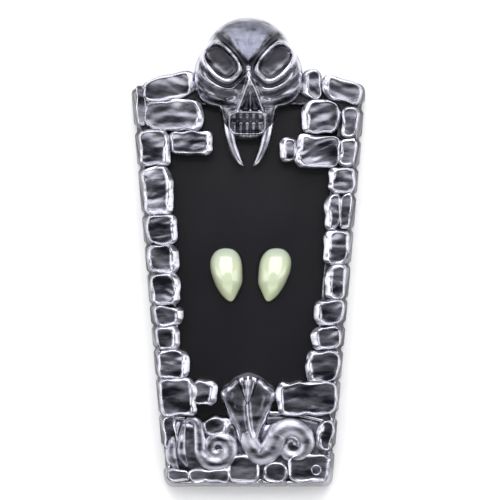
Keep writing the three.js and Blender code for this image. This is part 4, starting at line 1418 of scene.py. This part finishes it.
@dataclass
class Serpent:
    """The hooded serpent at the foot: a spread hood, a small head, two coils and a tail.

    Places in its routes are millimetres from the middle of the foot of the case.
    """

    hood_width: float = 14.4
    hood_length: float = 18.0
    hood_rise: float = 2.9
    neck: float = 10.8
    tip_share: float = 0.6
    head_shift: float = 0.15
    sheen: float = 0.32
    ledge_radius: float = 0.45
    ring_place: tuple[float, float] = (16.9, 4.9)
    ring_radius: float = 1.15
    ring_wire: float = 0.18
    ring_rise: float = 2.1

    @property
    def neck_y(self) -> float:
        """Y where the hood ends in the neck."""
        return SIZES.foot_y + self.neck

    def hood(self) -> tuple[Array, Array]:
        """The hood's relief: a rolled rim, dished lobes, a middle ridge and the head.

        The height is the root of 1 less a power of the share out, a lower power towards the
        neck, so that the rim is wider there. The head is a wedge with ridges down it. The middle
        ridge is a bell across a line that starts at the head's tip and bends right as a parabola.

        Returns:
            Points by ring and column, and their tone, worn and painted light.
        """
        scale = np.array([self.hood_width / 2, self.hood_length])
        mirrored = HOOD_OUTLINE[1:] * np.array([-1, 1])
        outline = np.concatenate([HOOD_OUTLINE, mirrored]) * scale
        relief = PolarRelief((0.0, 0.62 * self.hood_length), outline, columns=280, rings=76)
        x, y, out = relief.grid()
        share = y / self.hood_length
        upper = smooth_step(0.45, 0.75, share)
        line = -0.3 + 2.0 * np.clip(0.62 - share, 0, 1) ** 2 * 2.4
        spine = bell(x - line, 0.5) * smooth_step(0.66, 0.56, share)
        trough = bell(np.abs(x - line * 0.8) - 2.9 * (0.4 + share * 0.65), 2.6)
        lobes = smooth_step(0.96, 0.4, out) * trough
        tip = self.tip_share * self.hood_length
        wedge = np.abs(x + self.head_shift) / np.maximum(0.35 + 0.4 * (y - tip), 0.05)
        head = (smooth_step(1.1, 0.7, wedge) * smooth_step(tip - 0.5, tip + 0.6, y)
                * smooth_step(0.99, 0.9, out))
        pitch = 0.5 + 0.3 * (y - tip)
        ridges = 0.5 + 0.5 * np.cos(2 * math.pi * (x + self.head_shift) / pitch)
        z = self.hood_rise * np.clip(1 - out ** (4.3 + 2.7 * upper), 0, 1) ** 0.5
        z = z - 0.7 * lobes + 0.75 * spine * smooth_step(1.0, 0.8, out)
        z = z + head * (0.85 + 0.35 * ridges) + 0.015 * wave_noise(x, y, 1.8, 31)
        rim = smooth_step(0.6 + 0.2 * upper, 0.8 + 0.13 * upper, out)
        # Light rim, spine and head ridges: worn and painted highlight; the lobes are painted
        # darker, as shade.
        wear_and_painted_light = 0.12 + 0.85 * rim + 0.75 * spine + head * (0.15 + 0.45 * ridges)
        wear_and_painted_light = wear_and_painted_light - 0.5 * lobes * smooth_step(0.2, 0.7, share)
        wall_z = np.array([SIZES.relief_foot, (SIZES.relief_foot + SIZES.joint_z) / 2])
        walls = np.stack([np.stack([x[0], y[0], np.full(len(x[0]), w)], axis=-1) for w in wall_z])
        top = np.stack([x, y, SIZES.joint_z + z], axis=-1)
        points = np.concatenate([walls, top])
        points[..., 1] += self.neck_y
        # The hood's wall is painted dark at its foot, as shade.
        low = np.tile(np.array([[-0.8], [-0.1]]), (1, x.shape[1]))
        return points, np.concatenate([low, np.clip(wear_and_painted_light, -0.9, 1)])

    @staticmethod
    def limb(route: Array, widths: Array, lift: Array) -> tuple[Array, Array]:
        """A stretch of the body along a route, with a light line on each side of its back, worn
        and painted highlight.

        Args:
            route: its middle line.
            widths: half-widths at even shares of the route.
            lift: heights of the middle line over the joint floor, likewise.

        Returns:
            Points by ring and column, and their tone, worn and painted light.
        """
        count = 12 * len(route)
        path = smooth_path(route, count)
        share = np.linspace(0, 1, count)
        radii = np.interp(share, np.linspace(0, 1, len(widths)), widths)
        z = SIZES.joint_z + np.interp(share, np.linspace(0, 1, len(lift)), lift)
        columns = 28
        rings = sweep(np.column_stack([path[:, 0], path[:, 1] + SIZES.foot_y, z]), radii,
                      tallness=0.95, columns=columns)
        angle = np.linspace(0, 2 * math.pi, columns, endpoint=False)
        from_crest = np.abs(angle - math.pi / 2)
        # Light lines along both sides of the back: worn and painted highlight.
        wear_and_painted_light = 0.25 + 0.75 * bell(np.abs(from_crest - 0.95), 0.45)
        return rings, np.broadcast_to(wear_and_painted_light, rings.shape[:2])

    @staticmethod
    def spiral(middle: tuple[float, float], start: float, turns: float, wide: float,
               tight: float, count: int = 16) -> Array:
        """Points of a coil that winds in: the radius falls evenly with the angle.

        Args:
            middle: the coil's middle.
            start: first angle in degrees.
            turns: how many turns, negative for clockwise.
            wide: first radius.
            tight: last radius.
            count: how many points.

        Returns:
            The points, one row each.
        """
        share = np.linspace(0, 1, count)
        angle = np.radians(start + 360 * turns * share)
        radius = wide + (tight - wide) * share
        return np.stack([middle[0] + radius * np.cos(angle),
                         middle[1] + radius * np.sin(angle)], axis=-1)

    def right_coil(self) -> tuple[Array, Array]:
        """The body from under the hood, down and round into the right coil.

        Returns:
            Points by ring and column, and their tone, worn and painted light.
        """
        neck = np.array([[-0.4, 14.5], [0.6, 11.2], [2.6, 8.7], [5.2, 9.6], [6.8, 12.6]])
        route = np.concatenate([neck, self.spiral((11.0, 11.2), 140, -1.45, 4.7, 0.8)])
        return self.limb(route, np.array([2.3, 2.9, 2.6, 2.1, 1.75, 1.6, 1.3, 0.9]),
                         np.array([0.4, 0.9, 1.0, 0.9, 0.5, 0.3, 0.7, 1.3]))

    def left_coil(self) -> tuple[Array, Array]:
        """The body from the root of the tail, down and round into the left coil.

        Returns:
            Points by ring and column, and their tone, worn and painted light.
        """
        root = np.array([[-16.2, 16.6], [-14.4, 17.6], [-12.6, 16.0], [-12.2, 12.6]])
        route = np.concatenate([root, self.spiral((-7.7, 10.2), 190, 1.45, 4.3, 0.7)])
        return self.limb(route, np.array([0.6, 1.5, 1.9, 2.1, 2.2, 1.9, 1.5, 1.1, 0.8]),
                         np.array([0.2, 0.5, 0.9, 0.8, 0.5, 0.4, 0.5, 1.0, 1.4]))

    def tail(self) -> list[tuple[Array, Array]]:
        """The two lobes of the tail, each swelling from its foot and thinning to its root.

        Returns:
            Points and tone, worn and painted light, of the outer and of the inner lobe.
        """
        outer = np.array([[-17.6, 4.5], [-19.0, 7.6], [-19.1, 11.6], [-17.4, 16.9]])
        inner = np.array([[-15.2, 5.6], [-16.5, 8.6], [-16.7, 12.2], [-16.0, 16.4]])
        widths, lift = np.array([0.3, 1.0, 0.95, 0.35]), np.array([0.1, 0.5, 0.6, 0.3])
        lobes = []
        for route, width, rise in ((outer, 1.5, 0.2), (inner, 1.25, 0.5)):
            points, wear_and_painted_light = self.limb(route, width * widths, lift + rise)
            lobes.append((points, 0.85 * wear_and_painted_light))
        return lobes

    def ledges(self) -> list[tuple[Array, Array]]:
        """The thin ledges on either side of the hood.

        Returns:
            Points and tone, worn and painted light, of the right and of the left ledge.
        """
        right = np.array([[5.2, 19.1], [10.0, 18.9], [15.0, 18.0], [20.4, 16.7]])
        left = np.array([[-20.4, 17.6], [-18.2, 17.9], [-15.8, 17.7]])
        return [self.limb(route, np.full(2, self.ledge_radius), np.full(2, 1.1))
                for route in (right, left)]

    def shelf(self) -> tuple[Array, Array]:
        """The low swell that fills the corner between the right coil and its ledge.

        Returns:
            Points by ring and column, and their tone, worn and painted light.
        """
        route = np.array([[4.6, 17.2], [9.0, 17.5], [14.5, 16.7], [19.6, 15.4]])
        points, wear_and_painted_light = self.limb(route, np.array([1.6, 1.5, 1.5]), np.array([-1.1, -1.0]))
        # The shelf in the corner is painted darker, as shade.
        return points, 0.2 * wear_and_painted_light

    def corner_ring(self) -> Array:
        """The small ring on the stone at the lower right corner.

        Returns:
            Points by section and column, closed both ways.
        """
        turn = np.linspace(0, 2 * math.pi, 33)
        x, y = self.ring_place
        circle = np.stack([x + self.ring_radius * np.cos(turn),
                           SIZES.foot_y + y + self.ring_radius * np.sin(turn),
                           np.full(33, SIZES.joint_z + self.ring_rise)], axis=-1)
        return sweep(circle, np.full(33, self.ring_wire))[:-1]

    def build(self, material: bpy.types.Material) -> None:
        """Makes the hood, the two coils, the tail, the ledges and the corner ring as one piece.

        Args:
            material: the silvered finish.
        """
        skin = Skin()
        skin.add_rings(*self.hood())
        for limb in (self.right_coil(), self.left_coil(), *self.tail()):
            skin.add_rings(*limb, self.sheen)
        for ledge in self.ledges():
            skin.add_rings(*ledge)
        skin.add_rings(*self.shelf(), self.sheen)
        skin.add_loop(self.corner_ring(), 0.7)
        install(skin.build("serpent", material), Slot.SILVER, "front_frame")


@dataclass
class BackPlate:
    """The flat back: the case's outline joined with the skull's disc, its edges rounded."""

    edge: float = 0.35
    inset: float = 0.6
    disc: float = 11.4
    columns: int = 1080
    flat_rings: int = 8
    flat_reach: float = 30.0

    def radii(self, angle: Array) -> Array:
        """Distance from the middle to the edge: the farther of the coffin and the disc.

        The disc's far side is found along the ray by the root of its radius squared less the
        distance between ray and middle squared.

        Args:
            angle: angles in radians.

        Returns:
            The distance at each angle.
        """
        outline = FrameWall().case_outline(self.inset)
        case = PolarRelief((0.0, 0.0), outline, round_over=0).radius(angle)
        centre_y = SIZES.peak_y + SIZES.skull_rise - self.disc
        along = centre_y * np.sin(angle)
        under = self.disc**2 - (centre_y * np.cos(angle)) ** 2
        reach = np.where((under > 0) & (along > 0), along + np.sqrt(np.maximum(under, 0)), 0.0)
        return np.maximum(case, reach)

    def build(self, material: bpy.types.Material) -> None:
        """Makes the plate: its back, the rounded lower edge, its side and the upper edge.

        The rings go out over the back, round a quarter circle, up the side, round another
        quarter circle and in over the top.

        Args:
            material: the finish of the back.
        """
        angle = np.linspace(-math.pi, math.pi, self.columns, endpoint=False)
        reach = self.radii(angle)
        turn = np.linspace(0, math.pi / 2, 6)
        out = np.linspace(self.flat_reach, 1, self.flat_rings)
        inset = np.concatenate([out, 1 - np.sin(turn), 1 - np.cos(turn), out[::-1]]) * self.edge
        top = SIZES.back_thickness
        z = np.concatenate([np.zeros(self.flat_rings), self.edge * (1 - np.cos(turn)),
                            top - self.edge * (1 - np.sin(turn)), np.full(self.flat_rings, top)])
        radius = reach - inset[:, None]
        points = np.stack([radius * np.cos(angle), radius * np.sin(angle),
                           np.broadcast_to(z[:, None], radius.shape)], axis=-1)
        skin = Skin()
        skin.add_rings(points)
        install(skin.build("back_shell", material), Slot.BLACK_PLASTIC, "back_plate")


# Outline of the left cap, in half-widths and half-lengths, from the gum end round to its left.
FANG_OUTLINE = np.array([
    [0.0, 1.0], [-0.42, 0.96], [-0.75, 0.82], [-0.95, 0.6], [-1.0, 0.38], [-0.95, 0.1],
    [-0.82, -0.15], [-0.67, -0.38], [-0.48, -0.58], [-0.28, -0.75], [-0.05, -0.89], [0.17, -0.98],
    [0.32, -1.0], [0.46, -0.93], [0.62, -0.76], [0.79, -0.56], [0.95, -0.36], [1.0, -0.18],
    [0.99, 0.12], [0.96, 0.42], [0.8, 0.72], [0.45, 0.94],
])

# Height of the cap's front at places along it from the tip, as shares of its crown.
FANG_LEVELS = np.array([[-6.75, 0.42], [-4.6, 0.78], [-1.2, 1.0], [3.5, 0.93], [6.75, 0.78]])

# Rings of the back rim from the seat up: shares of the way out and of the back's height.
RIM_RINGS = ((0.86, 0.0), (0.9, 0.06), (0.94, 0.3), (0.98, 0.65))

# Rings of the hollow from its middle to the seat: shares of the way out and of its depth.
HOLLOW_RINGS = ((0.02, 0.99), (0.3, 0.95), (0.55, 0.84), (0.78, 0.62), (0.92, 0.36), (0.98, 0.12),
                (1.0, 0.0))


@dataclass
class FangCap:
    """A hollow canine cap: a domed front, a rim that rests on the panel and an open back."""

    side: Side
    length: float = 13.5
    width: float = 8.2
    depth: float = 7.0
    back: float = 2.5
    wall: float = 0.85
    spread: float = 12.1
    shift: float = 0.5
    level: float = -5.5
    pocket: float = 1.2
    lean: float = 0.0
    middle: tuple[float, float] = (0.0, -1.1)
    hollow_shift: float = 0.7
    hollow_share: float = 0.66
    hollow_foot: float = -1.9

    @property
    def seat(self) -> float:
        """Z of the seat, in the panel's pocket."""
        return SIZES.panel_top - self.pocket + SIZES.seat_gap

    @property
    def crown(self) -> float:
        """Height of the front over its widest level."""
        return self.depth - self.back

    def front(self) -> Array:
        """The domed front, by ring from its widest line to its middle.

        Its height is the crown times a power of 1 less a power of the share out, times the level
        at that length, with two low ridges down the lower half.

        Returns:
            Points by ring and column.
        """
        flip = np.array([1.0 if self.side is Side.LEFT else -1.0, 1.0])
        scale = np.array([self.width / 2, self.length / 2])
        outline = smooth_path(np.vstack([FANG_OUTLINE, FANG_OUTLINE[:1]]), 160)[:-1] * scale * flip
        x, y, out = PolarRelief(self.middle, outline, columns=200, rings=64).grid()
        dome = self.crown * np.clip(1 - out**3.1, 0, 1) ** 0.55
        levels = smooth_path(FANG_LEVELS, 200)
        taper = np.interp(y, levels[:, 0], levels[:, 1])
        inward = -self.side.value * x
        ridges = bell(inward + 0.9, 0.55) + bell(inward - 1.5, 0.5)
        lobes = 0.16 * ridges * smooth_step(-2.2, 1.4, -y) * smooth_step(0.0, 2.5, y + 5.5)
        z = self.seat + self.back + dome * taper + lobes * np.clip(1 - out**3, 0, 1)
        return np.stack([x, y, z], axis=-1)

    def rim(self, edge: Array) -> Array:
        """The rounded back rim, from the seat up to the widest line.

        Args:
            edge: the widest line, one row a point.

        Returns:
            Points by ring and column.
        """
        middle = np.array(self.middle)
        return np.stack([
            np.column_stack([middle + (edge - middle) * share,
                             np.full(len(edge), self.seat + self.back * rise)])
            for share, rise in RIM_RINGS])

    def hollow(self, edge: Array) -> Array:
        """The hollow for the tooth: a smaller dome, moved to the gum end and cut off at the tip.

        Args:
            edge: the cap's widest line, one row a point.

        Returns:
            Points by ring and column, from the hollow's middle to the seat.
        """
        middle = np.array(self.middle)
        gum = middle + np.array([0.0, self.hollow_shift])
        opening = gum + (edge - middle) * self.hollow_share
        opening[:, 1] = np.maximum(opening[:, 1], self.hollow_foot)
        height = self.depth - self.wall
        return np.stack([
            np.column_stack([gum + (opening - gum) * share,
                             np.full(len(edge), self.seat + height * rise)])
            for share, rise in HOLLOW_RINGS])

    def build(self, material: bpy.types.Material) -> None:
        """Makes the cap: out of the hollow, round the back rim and over the front.

        Args:
            material: the acrylic.
        """
        front = self.front()
        edge = front[0, :, :2]
        points = np.concatenate([self.hollow(edge), self.rim(edge), front])
        points[..., 0] += self.lean * points[..., 1] / self.length * 2
        points[..., 0] += self.shift + self.side.value * self.spread / 2
        points[..., 1] += self.level
        skin = Skin()
        skin.add_rings(points, 0.0)
        name = f"fang_cap_{self.side.name.lower()}"
        install(skin.build(name, material), Slot.TOOTH, f"fang_{self.side.name.lower()}")


@dataclass(frozen=True)
class SoftLight:
    """A rectangular soft light that faces the case: millimetres and watts."""

    name: str
    place: tuple[float, float, float]
    size: tuple[float, float]
    power: float

    def build(self) -> None:
        """Adds the light to the scene."""
        light = bpy.data.lights.new(self.name, "AREA")
        light.shape = "RECTANGLE"
        light.size, light.size_y = self.size[0] * MM, self.size[1] * MM
        light.energy = self.power
        lamp = bpy.data.objects.new(self.name, light)
        lamp.location = Vector(self.place) * MM
        lamp.rotation_euler = (-lamp.location).to_track_quat("-Z", "Y").to_euler()
        bpy.context.scene.collection.objects.link(lamp)


# The key stands past the skull and gives the caps their white patch. The strips light the edges.
LIGHTS = (
    SoftLight("key", (0, 440, 490), (620, 740), 6.2),
    SoftLight("left_strip", (-560, 0, 360), (360, 700), 1.8),
    SoftLight("right_strip", (560, 0, 360), (360, 700), 1.7),
    SoftLight("foot_strip", (0, -600, 360), (900, 450), 1.6),
)


@dataclass
class Studio:
    """Plain pale floor, soft lights and a camera that looks straight down on the front."""

    span: float = 125.0
    camera_height: float = 700.0
    aim: tuple[float, float] = (0.4, 0.75)
    focus_z: float = 9.0
    floor: float = 3000.0
    floor_drop: float = 0.02
    sensor: float = 36.0
    sky: str = "#C9CAD2"
    sky_strength: float = 0.4

    def add_floor(self) -> None:
        """Adds a white paper floor as one flat face just under the case."""
        half, z = self.floor / 2 * MM, -self.floor_drop * MM
        mesh = bpy.data.meshes.new("floor")
        corners = [(-half, -half, z), (half, -half, z), (half, half, z), (-half, half, z)]
        mesh.from_pydata(corners, [], [(0, 1, 2, 3)])
        paper = bpy.data.materials.new("paper_floor")
        paper.use_nodes = True
        shader = paper.node_tree.nodes["Principled BSDF"]
        shader.inputs["Base Color"].default_value = hex_linear("#FFFFFF")
        shader.inputs["Roughness"].default_value = 0.9
        mesh.materials.append(paper)
        floor = bpy.data.objects.new("floor", mesh)
        bpy.context.scene.collection.objects.link(floor)

    def add_camera(self) -> None:
        """Adds the camera: the lens is what shows the span at the height of the relief."""
        data = bpy.data.cameras.new("camera")
        data.sensor_width = self.sensor
        data.lens = self.sensor * (self.camera_height - self.focus_z) / self.span
        data.clip_end = 10.0
        camera = bpy.data.objects.new("camera", data)
        camera.location = Vector((*self.aim, self.camera_height)) * MM
        bpy.context.scene.collection.objects.link(camera)
        bpy.context.scene.camera = camera

    def add_surroundings(self) -> None:
        """Surrounds the case with a dim, slightly cool grey."""
        world = bpy.data.worlds.new("studio")
        world.use_nodes = True
        background = world.node_tree.nodes["Background"]
        background.inputs["Color"].default_value = hex_linear(self.sky)
        background.inputs["Strength"].default_value = self.sky_strength
        bpy.context.scene.world = world
        bpy.context.scene.view_settings.view_transform = "Standard"

    def build(self) -> None:
        """Sets up the floor, the lights, the surroundings and the camera."""
        self.add_floor()
        for light in LIGHTS:
            light.build()
        self.add_surroundings()
        self.add_camera()
        LOG.info("studio: %d lights", len(LIGHTS))


def dress_node(node: str, material: bpy.types.Material) -> None:
    """Gives a node of the frame a better finish.

    Args:
        node: the node's name.
        material: its finish.
    """
    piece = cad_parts[node]
    piece.data.materials.clear()
    piece.data.materials.append(material)
    LOG.info("%s: dressed", node)


def courses() -> dict[str, tuple[Stone, ...]]:
    """Sorts the stones by where they lie.

    Returns:
        The stones of the left side, the right side and the foot, by the name of their piece.
    """
    low = tuple(s for s in STONES if s.low < FOOT_ROW)
    left = tuple(s for s in STONES if s.low >= FOOT_ROW and s.left < 0)
    right = tuple(s for s in STONES if s.low >= FOOT_ROW and s.left > 0)
    return {"stones_left": left, "stones_right": right, "stones_foot": low}


def main() -> None:
    """Builds every piece of the case in order."""
    logging.basicConfig(level=logging.INFO, format="%(name)s: %(message)s")
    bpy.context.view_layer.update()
    silver = SilveredPlastic().make()
    spark_textured = BlackPlastic(Slot.BLACK_PLASTIC, roughness=0.5, texture=0.3).make()
    satin = BlackPlastic(Slot.BLACK_PANEL, colour="#0F0E13", roughness=0.22).make()
    tooth = ToothAcrylic().make()
    Studio().build()
    BackPlate().build(spark_textured)
    dress_node("display_panel", satin)
    FrameWall().build(silver)
    for name, stones in courses().items():
        StoneCourse(name, stones).build(silver)
    Skull().build(silver)
    Serpent().build(silver)
    FangCap(Side.LEFT).build(tooth)
    FangCap(Side.RIGHT, lean=0.4).build(tooth)


if __name__ == "__main__":
    main()
